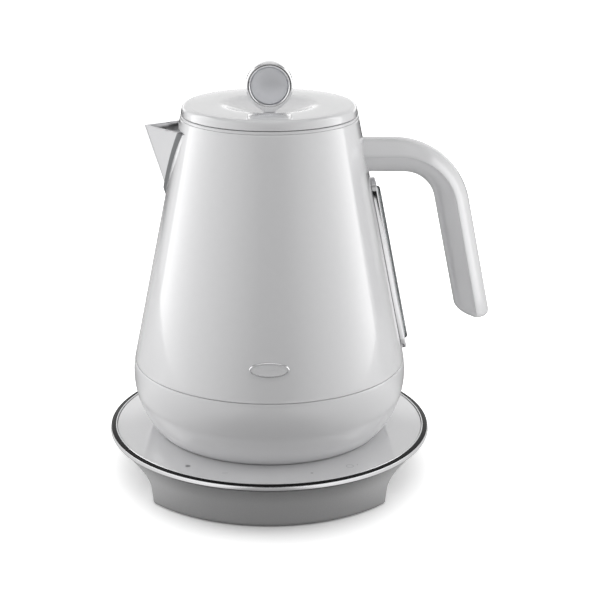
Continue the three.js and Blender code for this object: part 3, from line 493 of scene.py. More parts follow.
def chrome_rim():
    return turned(filleted([
        (RIM_INNER_R, RIM_Z), (RIM_R - 0.5, RIM_Z, 0.3), (RIM_R, RIM_Z + 0.8, 0.5),
        (RIM_R - 0.25, RIM_BEAD_TOP - 0.6, 0.9), (RIM_BEAD_R + 0.15, RIM_BEAD_TOP, 0.25),
        (RIM_BEAD_R, RIM_BEAD_TOP), (RIM_BEAD_R, RIM_GROOVE_Z), (RIM_LIP_R, RIM_GROOVE_Z),
        (RIM_LIP_R, RIM_LIP_TOP, 0.25), (RIM_INNER_R, RIM_LIP_TOP, 0.2)], 7), FINE)


def rim_band():
    """Dark glossy band in the rim's groove, sloping down from the lip to the bead."""
    inner, outer = RIM_LIP_R + SEAM, RIM_BEAD_R - SEAM
    return turned(filleted([
        (inner, RIM_GROOVE_Z + GAP), (outer, RIM_GROOVE_Z + GAP), (outer, RIM_BEAD_TOP, 0.2),
        (inner, BAND_TOP, 0.2)], 5), FINE)


def tray():
    inner, outer = TOWER_R + 0.6, RIM_INNER_R - GAP
    return turned(filleted([(inner, RIM_Z), (outer, RIM_Z), (outer, TRAY_TOP, 0.45),
                            (inner, TRAY_TOP, 0.5)], 5), FINE)


def connector_tower():
    flange_r, flange_z, slot_floor, slot_in, slot_out, hole = 24, 18, 21, 7, 9.6, 2.6
    return turned(filleted([
        (0, flange_z), (flange_r, flange_z), (flange_r, BASE_TOP), (TOWER_R, BASE_TOP),
        (TOWER_R, TOWER_TOP, 1.1), (slot_out, TOWER_TOP, 0.5), (slot_out, slot_floor),
        (slot_in, slot_floor), (slot_in, TOWER_TOP, 0.5), (hole, TOWER_TOP, 0.5),
        (hole, slot_floor), (0, slot_floor)]), MIDDLE)


def ring(inner, outer, low, high, segments=MIDDLE, edge=0.2):
    return turned(filleted([(inner, low, edge), (outer, low, edge), (outer, high, edge),
                            (inner, high, edge)], 3), segments)


def touch_marks():
    """Small printed marks of the touch controls, a hair proud of the tray."""
    low, high = TRAY_TOP - 0.05, TRAY_TOP + 0.02
    marks = {
        "touch_mark_power": moved(rod(1.5, low, high), at(-45.6, -67.9, 0)),
        "touch_mark_dot": moved(rod(0.8, low, high), at(23.6, -77.1, 0)),
        "touch_mark_ring": moved(ring(1.75, 2.15, low, high, SMALL, 0.01), at(45.1, -67.9, 0)),
        "touch_mark_dash": plate_mesh(stadium(0.5, 3.2, 6), low, high, at(-24.6, -77.1, 0)
                                      @ Matrix.Rotation(math.pi / 2, 4, "Z"), edge_high=0.01),
        "touch_mark_line": plate_mesh(stadium(0.4, 1.9, 6), low, high, at(49.4, -65.9, 0),
                                      edge_high=0.01),
    }
    for name, mesh in marks.items():
        place(name, *mesh, "base", "grey_plastic", look="mark")


def power_base():
    place("foot_housing", *base_housing(), "base", "grey_plastic", ["base_housing"])
    place("chrome_rim", *chrome_rim(), "base", "chrome", ["rim_ring"])
    place("rim_band", *rim_band(), "base", "dark_plastic", ["rim_band"], look="black_gloss")
    place("tray", *tray(), "base", "tray_gloss", ["tray_plate"])
    touch_marks()
    place("connector_tower", *connector_tower(), "base", "dark_plastic", ["socket_post"])
    place("contact_ring", *ring(7.4, 9.2, 21.3, 26), "base", "brass", ["socket_contact_ring"])
    place("contact_pin", *rod(2.2, 21.3, 24, SMALL, 0.5), "base", "brass", ["socket_contact_pin"])
    gland = [(3.4, 0, 0.5), (6, 0, 0.3), (6, 2, 0.2), (4.6, 2), (4.6, 5.4), (6, 5.4, 0.3),
             (6, 7.4, 1.2), (3.4, 7.4, 0.8)]
    along_y = at(0, FOOT_R - 5, GLAND_Z) @ Matrix.Rotation(-math.pi / 2, 4, "X")
    place("cord_grommet", *moved(turned(filleted(gland), SMALL), along_y), "base", "rubber",
          ["cord_gland"])
    place("centre_pad", *rod(12, 0, 1.2, MIDDLE, 0.5), "base", "rubber", ["centre_foot"])
    for i, (x, y) in enumerate(PAD_SPOTS, 1):
        place(f"foot_pad_{i}", *moved(rod(7, 0, 1.2, SMALL, 0.5), at(x, y, 0)), "base", "rubber",
              [f"base_foot_{i}"])


# ---------------- jug
def spout_frame():
    """The ridge's direction, the direction into the body across it, and the V's half angle."""
    down = (SPOUT_FOOT - SPOUT_TIP).normalized()
    inward = Vector((-down.z, 0, down.x))
    rim = Vector((-jug_radius(SPOUT_TIP.z) + 3.1, 0, SPOUT_TIP.z)) - SPOUT_TIP
    return down, inward, math.atan(SPOUT_HALF / rim.dot(inward))


DOWN, INWARD, SPOUT_ANGLE = spout_frame()
ACROSS = Vector((0, 1, 0))
RIM_NORMAL = Vector((math.sin(SPOUT_RIM_DROP), 0, math.cos(SPOUT_RIM_DROP)))


def v_point(offset, along, reach):
    """A point on the V grown by offset: along the ridge, then reach along the face to +-Y."""
    apex = SPOUT_TIP + DOWN * along - INWARD * (offset / math.sin(SPOUT_ANGLE))
    soft = math.hypot(reach, RIDGE_ROUND) - RIDGE_ROUND
    return (apex + INWARD * (soft * math.cos(SPOUT_ANGLE))
            + ACROSS * (reach * math.sin(SPOUT_ANGLE)))


def onto_rim(point, lift=0.0):
    """The point slid along the ridge's direction up to the spout's sloping rim plane."""
    height = (SPOUT_TIP - point).dot(RIM_NORMAL) + lift
    return point + DOWN * (height / DOWN.dot(RIM_NORMAL))


def below_rim(point):
    over = (point - SPOUT_TIP).dot(RIM_NORMAL)
    return point - RIM_NORMAL * over if over > 0 else point


def wall_reach(offset, along, side, grow, on_rim):
    """How far along the V's face the jug's wall, grown by an amount, is met."""
    def outside(reach):
        point = v_point(offset, along, side * reach)
        if on_rim:
            point = onto_rim(point)
        return math.hypot(point.x, point.y) - (jug_radius(point.z) + grow)
    low, high = 0.0, 40.0
    if outside(low) < 0:
        return 0
    for _ in range(HALVINGS):
        middle = (low + high) / 2
        low, high = (middle, high) if outside(middle) > 0 else (low, middle)
    return low


def ridge_end(offset, grow):
    """How far down the ridge, grown by offset, the wall grown by an amount is met."""
    low, high = 0.0, 80.0
    for _ in range(HALVINGS):
        middle = (low + high) / 2
        point = v_point(offset, middle, 0)
        out = math.hypot(point.x, point.y) > jug_radius(point.z) + grow
        low, high = (middle, high) if out else (low, middle)
    return low


def spout_skin(offset, rows, columns):
    """A grid over the V from the rim down to where it runs into the jug's wall."""
    end = ridge_end(offset, SPOUT_SINK)
    grid = []
    for i in range(rows + 1):
        along = end * (i / rows) * 0.999
        on_rim = i == 0
        sides = [wall_reach(offset, along, side, SPOUT_SINK, on_rim) for side in (-1, 1)]
        row = []
        for k in range(2 * columns + 1):
            u = k / columns - 1
            reach = (sides[1] if u > 0 else sides[0]) * math.copysign(abs(u) ** 1.5, u)
            point = v_point(offset, along, reach)
            row.append(onto_rim(point) if on_rim else below_rim(point))
        grid.append(row)
    return grid


def spout():
    rows, columns = 24, 14
    outer, inner = spout_skin(0, rows, columns), spout_skin(-SPOUT_WALL, rows, columns)
    width = 2 * columns + 1
    points = [p for grid in (outer, inner) for row in grid for p in row]
    start = (rows + 1) * width
    faces = []
    for base in (0, start):
        for i in range(rows):
            for k in range(width - 1):
                a = base + i * width + k
                faces.append([a, a + 1, a + width + 1, a + width])
    for k in range(width - 1):
        faces.append([k, k + 1, start + k + 1, start + k])
        a = rows * width + k
        faces.append([a, a + 1, start + a + 1, start + a])
    for i in range(rows):
        for k in (0, width - 1):
            a = i * width + k
            faces.append([a, a + width, start + a + width, start + a])
    return points, faces


def spout_trim():
    """The dark collar that follows the line where the spout meets the painted wall."""
    corners = ((GAP, TRIM_IN), (TRIM_WIDTH, TRIM_IN), (TRIM_WIDTH, TRIM_OUT - 0.25),
               (TRIM_WIDTH - 0.2, TRIM_OUT), (GAP + 0.15, TRIM_OUT), (GAP, TRIM_OUT - 0.2))
    rows = 26
    loops = []
    for side in (-1, 1):
        order = range(rows + 1) if side < 0 else range(rows - 1, -1, -1)
        for i in order:
            loop = []
            for offset, grow in corners:
                along = ridge_end(offset, grow) * i / rows
                reach = wall_reach(offset, along, side, grow, i == 0)
                point = v_point(offset, along, side * (0 if i == rows else reach))
                loop.append(onto_rim(point) if i == 0 else below_rim(point))
            loops.append(loop)
    return lofted(loops)


def spout_cutter(grow):
    """A long wedge, grown sideways, that opens the wall behind the spout."""
    reach, low = 34, SPOUT_FOOT.z - 14
    apex = -INWARD * (grow / math.sin(SPOUT_ANGLE))
    inwards = apex + INWARD * (reach * math.cos(SPOUT_ANGLE))
    sideways = ACROSS * (reach * math.sin(SPOUT_ANGLE))
    loops = []
    for end in (0, 1):
        loop = []
        for offset in (apex, inwards + sideways, inwards - sideways):
            point = SPOUT_TIP + offset
            if end:
                point += DOWN * ((point.z - low) / -DOWN.z)
            else:
                point = onto_rim(point, 0.3)
            loop.append(point)
        loops.append(loop)
    return cutter(*lofted(loops))


GAUGE_UP = Vector((-math.tan(CONE), 0, 1)).normalized()
GAUGE_OUT = Vector((GAUGE_UP.z, 0, -GAUGE_UP.x))
GAUGE_MIDDLE = (GAUGE_LOW + GAUGE_HIGH) / 2
GAUGE_LENGTH = (GAUGE_HIGH - GAUGE_LOW) / GAUGE_UP.z
WINDOW_SIZE = (GAUGE_WIDTH - 2 * (GAUGE_BORDER + GAP), GAUGE_LENGTH - 4 * GAUGE_BORDER - 2 * GAP)
SLOT_LENGTH = WINDOW_SIZE[1] - 10


def gauge_matrix():
    """From (across, up the wall, outwards) to the part's frame."""
    origin = Vector((jug_radius(GAUGE_MIDDLE), 0, GAUGE_MIDDLE))
    columns = (ACROSS, GAUGE_UP, GAUGE_OUT)
    return Matrix([[c[i] for c in columns] + [origin[i]] for i in range(3)] + [[0, 0, 0, 1]])


GAUGE = gauge_matrix()


def gauge_bar(width, length, low, high, edge=0.0):
    return plate_mesh(stadium(width, length), low, high, GAUGE, edge_high=edge)


def gauge_surround():
    """The chrome frame: a stadium ring with a rounded face."""
    inner = stadium(WINDOW_SIZE[0] + 2 * GAP, WINDOW_SIZE[1] + 2 * GAP)
    outer = stadium(GAUGE_WIDTH, GAUGE_LENGTH)
    loops = [[(*p, GAUGE_LOW_OUT) for p in outer]]
    for loop, sign, edge, steps in ((outer, 1, GAUGE_EDGE, 6), (inner, -1, GAUGE_INNER_EDGE, 4)):
        for k in range(steps + 1):
            angle = math.pi / 2 * (k if sign > 0 else steps - k) / steps
            row = inset_loop(loop, sign * edge * (1 - math.cos(angle)))
            loops.append([(*p, GAUGE_FRAME_OUT - edge + edge * math.sin(angle)) for p in row])
    loops.append([(*p, GAUGE_LOW_OUT) for p in inner])
    return lofted([[GAUGE @ Vector(p) for p in loop] for loop in loops], close=True)


def gauge():
    core = cutter(*jug_core(0.25))
    frame_piece = place("gauge_surround", *gauge_surround(), "kettle", "chrome", ["gauge_frame"])
    cut(frame_piece, core)
    lens = gauge_bar(*WINDOW_SIZE, GAUGE_LOW_OUT, GAUGE_WINDOW_OUT, 1.6)
    window = place("gauge_lens", *lens, "kettle", "clear", ["gauge_window"])
    hollow = cutter(*gauge_bar(WINDOW_SIZE[0] - 2.4, WINDOW_SIZE[1] - 2.4, -4, 3.0, 0.8))
    cut(window, cutter(*jug_core(0.5)), hollow)
    strip = gauge_bar(WINDOW_SIZE[0] - 2.8, WINDOW_SIZE[1] - 2.8, -3, 1.4, 0.3)
    backing = place("gauge_backing", *strip, "kettle", "silicone", ["gauge_seal"],
                    look="white_plastic")
    cut(backing, cutter(*jug_core(0.25)),
        cutter(*gauge_bar(GAUGE_SLOT_WIDTH - 2.6, SLOT_LENGTH - 6, -5, 5)))
    for i in range(GAUGE_MARKS):
        height = MARK_PITCH * (i - GAUGE_MARKS // 2)
        side, thick = (1.1 if i % 3 else 1.7), 0.25
        mark = [(-side, -thick), (side, -thick), (side, thick), (-side, thick)]
        spot = at(0, height * SLOT_LENGTH, 0)
        place(f"gauge_mark_{i + 1}", *plate_mesh(mark, 1.35, 1.5, GAUGE @ spot, edge_high=0.02),
              "kettle", "dark_plastic", look="dark_mark")


def openings():
    """Cutters for the spout's opening and the gauge's slot."""
    return (spout_cutter(TRIM_WIDTH + GAP),
            cutter(*gauge_bar(GAUGE_SLOT_WIDTH, SLOT_LENGTH, -5, 5)))


def body_shell():
    """The painted outside with rounded edges, and a bare steel liner just inside it."""
    low, top, low_r = SEAM_Z + GAP, BODY_TOP + 0.2, 73
    foot = filleted([(jug_radius(low), low, 0.35), (jug_radius(low + 2), low + 2), (0, low + 2)])
    outline = [(low_r, low), *foot[:-2], *wall_line(low + 2, BODY_TOP - 1, 0, 12),
               (jug_radius(top - 0.35), top - 0.35), (jug_radius(top) - 0.1, top - 0.1),
               (jug_radius(top) - 0.35, top), (jug_radius(top) - SKIN, top),
               *wall_line(low + 1.4, BODY_TOP - 1, -SKIN, 12)[::-1], (low_r, low + 1.4)]
    shell = place("body_outer", *turned(outline, FINE), "kettle", "paint", ["body_shell"])
    cut(shell, *openings())
    near, far = -SKIN - 0.02, -SKIN - 0.4
    bare = [(jug_radius(low + 1.5) + near, low + 1.5),
            *wall_line(low + 3, BODY_TOP - 0.4, near, 12),
            *wall_line(low + 1.5, BODY_TOP - 0.4, far, 12)[::-1]]
    liner = place("body_liner", *turned(bare), "kettle", "steel")
    cut(liner, *openings())


def lower_skirt():
    bottom = TRAY_TOP + GAP
    outer = wall_line(bottom + 0.5, SEAM_Z - 0.45, 0, 1.6)
    inner = wall_line(bottom + 1.2, SEAM_Z, -SKIRT_WALL, 2.5)[::-1]
    rim = [(jug_radius(SEAM_Z) - 0.08, SEAM_Z - 0.12), (jug_radius(SEAM_Z) - 0.4, SEAM_Z)]
    low = [(inner[-1][0], bottom), (jug_radius(bottom) - 0.3, bottom)]
    return turned([*outer, *rim, *inner, *low], FINE)


def bottom_cover():
    low, high, stand, hole = UNDERSIDE_Z, UNDERSIDE_Z + 2, TRAY_TOP + GAP, 17.3
    edge = jug_radius(low) - SKIRT_WALL - 2 * GAP - 1
    outline = filleted([(hole, low, 0.3), (STAND_R[0], low), (STAND_R[0], stand, 0.6),
                        (STAND_R[1], stand, 0.6), (STAND_R[1], low), (edge, low, 0.4),
                        (edge, high), (hole, high)])
    cover = place("kettle_underside", *turned(outline), "kettle", "dark_plastic",
                  ["kettle_bottom_cover"])
    holes = []
    for angle in (90, 210, 330):
        turn = Matrix.Rotation(math.radians(angle), 4, "Z") @ at(50, 0, 0)
        holes.append(cutter(*moved(rod(1.9, 20, 40, SMALL), turn)))
    cut(cover, *holes)


def kettle_plug():
    ceiling, top = 36.5, 42
    outline = filleted([
        (0, 24.6), (1.6, 24.6, 0.7), (1.6, ceiling), (7.7, ceiling), (7.7, 26.5, 0.3),
        (8.9, 26.5, 0.3), (8.9, ceiling), (15, ceiling), (15, 29.9, 0.4), (16.8, 29.9, 0.4),
        (16.8, 33), (21, 33, 0.4), (21, 35.5), (16.8, 35.5), (16.8, top), (0, top)])
    place("connector_plug", *turned(outline, MIDDLE), "plug", "dark_plastic", ["kettle_plug"])


def mouth_ring():
    low, wall, top = BODY_TOP + 0.2 + SEAM, 46.2, MOUTH_TOP + 0.2
    outline = filleted([
        (COLLAR_R, COLLAR_BOTTOM, 0.3), (wall, COLLAR_BOTTOM, 0.3), (wall, low),
        (jug_radius(low), low, 0.25), (jug_radius(top) - 0.05, top, 0.5), (COLLAR_R, top, 0.6)])
    return turned(outline)


def heater_floor():
    (low, top), radius = HEATER_Z, 77.2
    outline = filleted([(0, low), (radius, low), (radius, top, 0.3), (60, top), (0, top)])
    plate_piece = place("heater_floor", *turned(outline), "kettle", "steel", ["heater_plate"])
    cut(plate_piece, cutter(*moved(rod(3.4, 50, 80), at(34, 0, 0))))


def badge():
    """A plain oval plate with a raised bright rim, bent to the wall."""
    across, up = BADGE_SIZE[0] / 2, BADGE_SIZE[1] / 2
    rings = ((0, -0.5), (0, 0.6), (0.1, 0.8), (0.3, BADGE_OUT - 0.1), (0.5, BADGE_OUT),
             (0.75, BADGE_OUT - 0.05), (0.9, BADGE_OUT - 0.35), (1.2, 0.7), (2.4, 0.7), (3.6, 0.7))
    count = 96
    points, faces, rows = [], [], []
    for inset, out in rings:
        row = []
        for k in range(count):
            angle = TURN * k / count
            x = (across - inset) * math.cos(angle)
            z = BADGE_Z + (up - inset) * math.sin(angle)
            row.append(len(points))
            points.append((x, -math.sqrt((jug_radius(z) + out) ** 2 - x * x), z))
        rows.append(row)
    for one, two in zip(rows, rows[1:]):
        for k in range(count):
            faces.append([one[k], one[(k + 1) % count], two[(k + 1) % count], two[k]])
    faces.append(rows[-1][::-1])
    faces.append(rows[0])
    piece = place("badge_plate", points, faces, "kettle", "trim_grey", ["badge"], look="chrome")
    piece.data.materials.append(FINISH["badge_silver"])
    for polygon in piece.data.polygons:
        centre = polygon.center / MM
        inside = math.hypot(centre.x / (across - 1.05), (centre.z - BADGE_Z) / (up - 1.05)) < 1
        polygon.material_index = int(inside and centre.y < 0)


# ---------------- handle
def handle_spine(arm_z, grip_x, radius, distance):
    """A point of one outline of the handle by its share: 0-1 arm, 1-2 bend, 2-3 grip."""
    corner_x = grip_x + GRIP_SLOPE * (GRIP_Z - arm_z)
    grip_angle = math.atan(GRIP_SLOPE)
    turn = math.pi / 2 - grip_angle
    centre = Vector((corner_x - radius * math.tan(turn / 2), arm_z - radius))
    if distance <= 1:
        return Vector((HANDLE_ROOT + (centre.x - HANDLE_ROOT) * distance, arm_z))
    if distance <= 2:
        angle = math.pi / 2 - turn * (distance - 1)
        return centre + Vector((math.cos(angle), math.sin(angle))) * radius
    start = centre + Vector((math.cos(grip_angle), math.sin(grip_angle))) * radius
    end_z = GRIP_END_Z + (-GRIP_TILT if radius == BEND_OUTER else GRIP_TILT)
    end = Vector((grip_x + GRIP_SLOPE * (GRIP_Z - end_z), end_z))
    return start.lerp(end, distance - 2)


def handle_station(distance, dome):
    outer = handle_spine(HANDLE_TOP, GRIP_OUTER_X, BEND_OUTER, distance)
    inner = handle_spine(HANDLE_BELOW, GRIP_INNER_X, BEND_INNER, distance)
    middle = (outer + inner) / 2 + GRIP_DOWN * (GRIP_DOME * dome)
    half = (outer - inner).length / 2
    return middle, (outer - inner).normalized(), half, math.sqrt(1 - dome * dome)


def handle_section(width, half, inset, side):
    """One half of the lens-shaped section as (across Y, outwards) points."""
    made = []
    parting = 0.03
    for k in range(SECTION_STEPS + 1):
        y = -math.cos(math.pi * k / SECTION_STEPS)
        t = (half - inset) * (1 - abs(y) ** CREASE)
        full = half - inset
        soft = math.sqrt(t * (t + EASE)) * math.sqrt(full / (full + EASE))
        middle = CREASE_OUT * abs(y) ** CREASE
        made.append(((width - inset * 1.2) * y * 0.998, middle + side * max(parting, soft)))
    return made


def on_section(middle, across, y, t):
    spot = middle + across * t
    return Vector((spot.x, y, spot.y))


def onto_wall(point):
    """The point slid along X to sit a hair off the jug's wall."""
    radius = jug_radius(point.z) + GAP
    return Vector((math.sqrt(max(0, radius ** 2 - point.y ** 2)), point.y, point.z))


def handle_half(side):
    """One of the two moulded halves, hollow, meeting the other along the middle line."""
    stations = [(k / 8, 0) for k in range(8)] + [(1 + k / 28, 0) for k in range(29)]
    stations += [(2 + k / 10, 0) for k in range(1, 11)]
    stations += [(3, math.sin(math.pi / 2 * k / 12)) for k in range(1, 12)] + [(3, 0.9995)]
    loops = []
    for distance, dome in stations:
        middle, across, half, scale = handle_station(distance, dome)
        core, core_across, core_half, _ = handle_station(min(distance, 2.9), 0)
        outer = [(y * scale, t * scale) for y, t in
                 handle_section(HANDLE_HALF_WIDTH, half, 0, side)]
        inner = handle_section(HANDLE_HALF_WIDTH, core_half, FOOT_WALL, side)[::-1]
        loop = [on_section(middle, across, y, t) for y, t in outer]
        loop += [on_section(core, core_across, y, t) for y, t in inner]
        if distance == 0:
            loop = [onto_wall(p) for p in loop]
        loops.append(loop)
    return lofted(loops, caps=False)


def handle():
    for name, side, node_name in (("handle_upper", 1, "handle_outer"),
                                  ("handle_lower", -1, "handle_inner")):
        points, faces = handle_half(side)
        count = 2 * (SECTION_STEPS + 1)
        for start, flip in ((0, 1), (len(points) - count, -1)):
            for k in range(SECTION_STEPS):
                a, b = start + k, start + k + 1
                faces.append([a, b, start + count - 2 - k, start + count - 1 - k][::flip])
        place(name, points, faces, "kettle", "white_plastic", [node_name],
              sharp=math.radians(50))


def jug():
    body_shell()
    place("lower_bowl", *lower_skirt(), "kettle", "white_plastic", ["lower_skirt"])
    bottom_cover()
    kettle_plug()
    heater_floor()
    place("mouth_collar", *mouth_ring(), "kettle", "white_plastic", ["mouth_ring"])
    place("pouring_spout", *spout(), "kettle", "steel", ["spout"], look="satin_steel",
          sharp=math.radians(40))
    place("spout_collar", *spout_trim(), "kettle", "trim_grey", ["spout_trim"])
    gauge()
    handle()
    badge()


# ---------------- lid
def dish_line(drop, steps):
    sphere = (DISH_R ** 2 + DISH_DEPTH ** 2) / (2 * DISH_DEPTH)
    made = []
    for k in range(steps + 1):
        r = DISH_R + (KNOB_SEAT_R - DISH_R) * k / steps
        made.append((r, LID_TOP - DISH_DEPTH + sphere - math.sqrt(sphere ** 2 - r * r) - drop))
    return made


def soft_dish(steps=24):
    """The lid's top from the flat rim into the dish, with a soft lip."""
    raw = dish_line(0, steps)
    start = DISH_R + 3
    made = []
    for r, z in [(start, LID_TOP), (start - 1.5, LID_TOP), *raw]:
        near = max(0, 1 - abs(r - DISH_R) / 3)
        made.append((r, z - 0.28 * near * near))
    return made


def rounded_box_loop(half, near, far, corner, steps=6):
    made = []
    side, high, low = half - corner, -near - corner, -far + corner
    for cx, cy, start in ((side, high, 0), (-side, high, 90), (-side, low, 180), (side, low, 270)):
        for k in range(steps + 1):
            angle = math.radians(start + 90 * k / steps)
            made.append((cx + corner * math.cos(angle), cy + corner * math.sin(angle)))
    return made


def lid_cap():
    side_top = LID_TOP - LID_EDGE
    edge = [(jug_radius(side_top) - LID_EDGE - 0.1 + LID_EDGE * math.cos(a),
             side_top + LID_EDGE * math.sin(a))
            for a in (CONE + (math.pi / 2 - CONE) * k / 12 for k in range(13))]
    low_r = jug_radius(LID_BOTTOM) - 0.1
    seat_z = dish_line(0, 1)[-1][1]
    under = LID_TOP - CAP_WALL
    outline = [(low_r - 0.5, LID_BOTTOM), (low_r - 0.12, LID_BOTTOM + 0.12),
               (low_r - 0.05, LID_BOTTOM + 0.5), *edge, (36, LID_TOP), *soft_dish(), (0, seat_z),
               (0, seat_z - CAP_WALL), *dish_line(CAP_WALL, 8)[::-1], (DISH_R + 2, under),
               (45.6, under), (47.2, under - 2), (47.6, LID_BOTTOM)]
    cap = place("lid_top", *turned(outline, FINE), "lid", "paint", ["lid_cap"])
    recess = rounded_box_loop(TAB_HALF + SEAM, TAB_NEAR - SEAM, TAB_FAR + SEAM, TAB_CORNER)
    cut(cap, cutter(*plate_mesh(recess, LID_TOP - 1.1, LID_TOP + 3, edge_high=0.0)))
    tab = rounded_box_loop(TAB_HALF, TAB_NEAR, TAB_FAR, TAB_CORNER)
    place("lid_inlay", *plate_mesh(tab, LID_TOP - 0.95, LID_TOP, edge_high=0.15), "lid", "paint",
          ["lid_tab"])


def knob_ring():
    """A thick chrome ring that flares down into its stem, with rounded rims."""
    foot = LID_TOP - DISH_DEPTH + 0.6
    stem = [(3.6, foot), (3.7, foot + 0.6), (4.0, foot + 1.2), (4.6, foot + 1.8),
            (5.4, foot + 2.4), (6.5, foot + 3.1), (7.6, foot + 3.95)]
    join = math.radians(-49)
    outline = [(x, z - KNOB_Z) for x, z in stem]
    steps = 88
    for k in range(steps + 1):
        angle = join + (math.pi - 2 * join) * k / steps
        outline.append((KNOB_R * math.cos(angle), KNOB_R * math.sin(angle)))
    outline += [(-x, z - KNOB_Z) for x, z in stem[::-1]]
    outline += [(x, foot - KNOB_Z) for x in (-2.4, -1.2, 0, 1.2, 2.4)]
    bore = []
    for x, z in outline:
        angle = math.atan2(z, x)
        bore.append((KNOB_BORE * math.cos(angle), KNOB_BORE * math.sin(angle)))
    half = KNOB_THICK / 2
    loops = []
    for side in (-1, 1):
        for k in range(8):
            a = math.pi / 2 * (1 - k / 7 if side < 0 else k / 7)
            level = side * (half - KNOB_EDGE * (1 - math.sin(a)))
            loops.append((inset_loop(outline, KNOB_EDGE * (1 - math.cos(a))), level))
    for sign in (1, -1):
        for k in range(5):
            a = math.pi / 2 * (1 - k / 4 if sign > 0 else k / 4)
            loops.append((inset_loop(bore, -BORE_EDGE * (1 - math.cos(a))),
                          sign * (half - BORE_EDGE * (1 - math.sin(a)))))
    shaped = [[(x, y, z + KNOB_Z) for x, z in loop] for loop, y in loops]
    return lofted(shaped, close=True)


def knob_disc():
    """The disc in the knob's ring: a shallow dome with a rounded rim on both sides."""
    inner, rise = KNOB_BORE - SEAM - LENS_EDGE, LENS_BULGE - LENS_RIM
    sphere = (inner ** 2 + rise ** 2) / (2 * rise)
    face = [(r, LENS_BULGE - sphere + math.sqrt(sphere ** 2 - r * r))
            for r in (inner * k / 16 for k in range(17))]
    for k in range(1, 9):
        angle = math.pi / 2 * k / 8
        face.append((inner + LENS_EDGE * math.sin(angle),
                     LENS_RIM - LENS_EDGE * (1 - math.cos(angle))))
    outline = [(r, -y) for r, y in face] + face[::-1]
    along_y = at(0, 0, KNOB_Z) @ Matrix.Rotation(-math.pi / 2, 4, "X")
    return moved(turned(outline, MIDDLE), along_y)


def lid():
    lid_cap()
    wall, top, cup_floor = 41.6, LID_TOP - CAP_WALL - GAP, 208
    liner = filleted([(0, COLLAR_BOTTOM), (wall, COLLAR_BOTTOM, 1.0), (wall, top),
                      (wall - CAP_WALL, top), (wall - CAP_WALL, cup_floor), (0, cup_floor)])
    place("lid_cup", *turned(liner), "lid", "grey_plastic", ["lid_liner"], look="white_plastic")
    low, high = 207.6, 211.2
    seal = filleted([(wall + GAP, low, 0.4), (COLLAR_R - GAP, low, 0.8),
                     (COLLAR_R - GAP, high, 0.8), (wall + GAP, high, 0.4)])
    place("lid_gasket", *turned(seal), "lid", "silicone", ["lid_seal"])
    place("knob_frame", *knob_ring(), "lid", "chrome", ["knob_ring"], look="satin_chrome")
    place("knob_face", *knob_disc(), "lid", "chrome", ["knob_lens"], look="disc_chrome")


# ---------------- the rest of the CAD
SHOWN = {
    "dark_plastic": ["base_bottom_cover", "power_relay", "beeper", "control_block"],
    "board": ["touch_board", "power_board"],
    "silicone": ["heater_seal"],
    "aluminium": ["heat_spreader"],
    "steel": ["heating_element", "water_sensor", "filter_mesh", "handle_pad", "handle_strap",
              *(f"handle_bolt_{i}" for i in (1, 2)), "knob_screw",
              *(f"bottom_screw_{i}" for i in (1, 2, 3)),
              *(f"base_screw_{i}" for i in (1, 2, 3, 4))],
    "grey_plastic": ["filter_frame"],
}


def finish_cad():
    for slot, names in SHOWN.items():
        for name in names:
            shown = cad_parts[name]
            shown.data.materials.clear()
            shown.data.materials.append(FINISH[slot])


# ---------------- studio
CAMERA_SPOT = (0, -0.850, 0.3865)
CAMERA_TILT = math.radians(71.5)
LENS = 91.71
SHIFT = 0.0511              # the photo shows the kettle's axis left of its middle

FLOOR_R = 8
UNSEEN_ALBEDO_PAINTED_SHADE = ((0, 0.15), (0.16, 0.15), (0.3, 0.6), (1, 0.6))   # by distance, in metres: painted shade, the floor the object sees is dark near the base
# painted light: the floor the object sees glows beside the kettle, lighting its sides
NEAR_GLOW = ((0, 0.0), (0.06, 0.0), (0.13, 0.6), (0.3, 0.5), (0.5, 0.4), (0.7, 0.2), (1, 0.2))
SEEN_ALBEDO = ((0, 0.98), (1, 0.98))        # the camera sees a white ground, lighter than the one the object sees
# painted shade: the glow the camera sees on the floor falls away near the base, by distance in
# metres
SEEN_GLOW_PAINTED_SHADE = ((0, 0.0), (0.092, 0.05), (0.12, 0.5), (0.15, 0.75), (0.3, 0.85), (0.75, 1.0),
             (1, 1.0))
SEEN_WIDE = 1.25            # the painted shade is narrower from side to side, as the foot is
BEHIND = ((0, 1.0), (0.05, 1.0), (0.12, 0.0), (1, 0.0))         # the glow ends behind the kettle
WHITE = (1, 1, 1, 1)
FLOOR_SEGMENTS = 64

GAIN = 3.0                  # the ramps hold radiance divided by this
WALL_R = 0.85               # the studio's light wall, in metres
WALL_HIGH = 1.0
TOP_LIGHT = 0.85
AMBIENT = 0.3
SIDE_LEVELS = (             # radiance of the wall by degrees from the front
    (-145, 0.4), (-131, 0.5), (-129, 0.9), (-119, 0.95), (-117, 2.5), (-106, 2.4), (-94, 1.8),
    (-80, 1.35), (-65, 1.05), (-50, 0.92), (-35, 0.7), (-20, 0.36), (-8, 0.05), (14, 0.0),
    (20, 0.15), (35, 0.52), (50, 0.8), (65, 1.05), (80, 1.6), (94, 2.4), (103, 2.8),
    (105, 1.0), (118, 0.75), (135, 0.6), (145, 0.6))
BACK_LEVELS = (             # radiance of the wall behind the object by height in metres
    (0.0, 0.02), (0.15, 0.02), (0.19, 1.2), (0.32, 1.2), (0.38, 0.82), (1.0, 0.75))
FRONT_LEVELS = (            # radiance of the softbox above the front, by height in metres
    (0.0, 0.0), (0.34, 0.0), (0.44, 0.5), (1.0, 0.5))
WALL_SEGMENTS = 72
SOFTBOX = (60, 67)          # the softbox above starts between these elevations, in degrees


def position(tree, output):
    spot = tree.nodes.new("ShaderNodeTexCoord")
    parts = tree.nodes.new("ShaderNodeSeparateXYZ")
    tree.links.new(spot.outputs[output], parts.inputs["Vector"])
    return [parts.outputs[axis] for axis in "XYZ"]


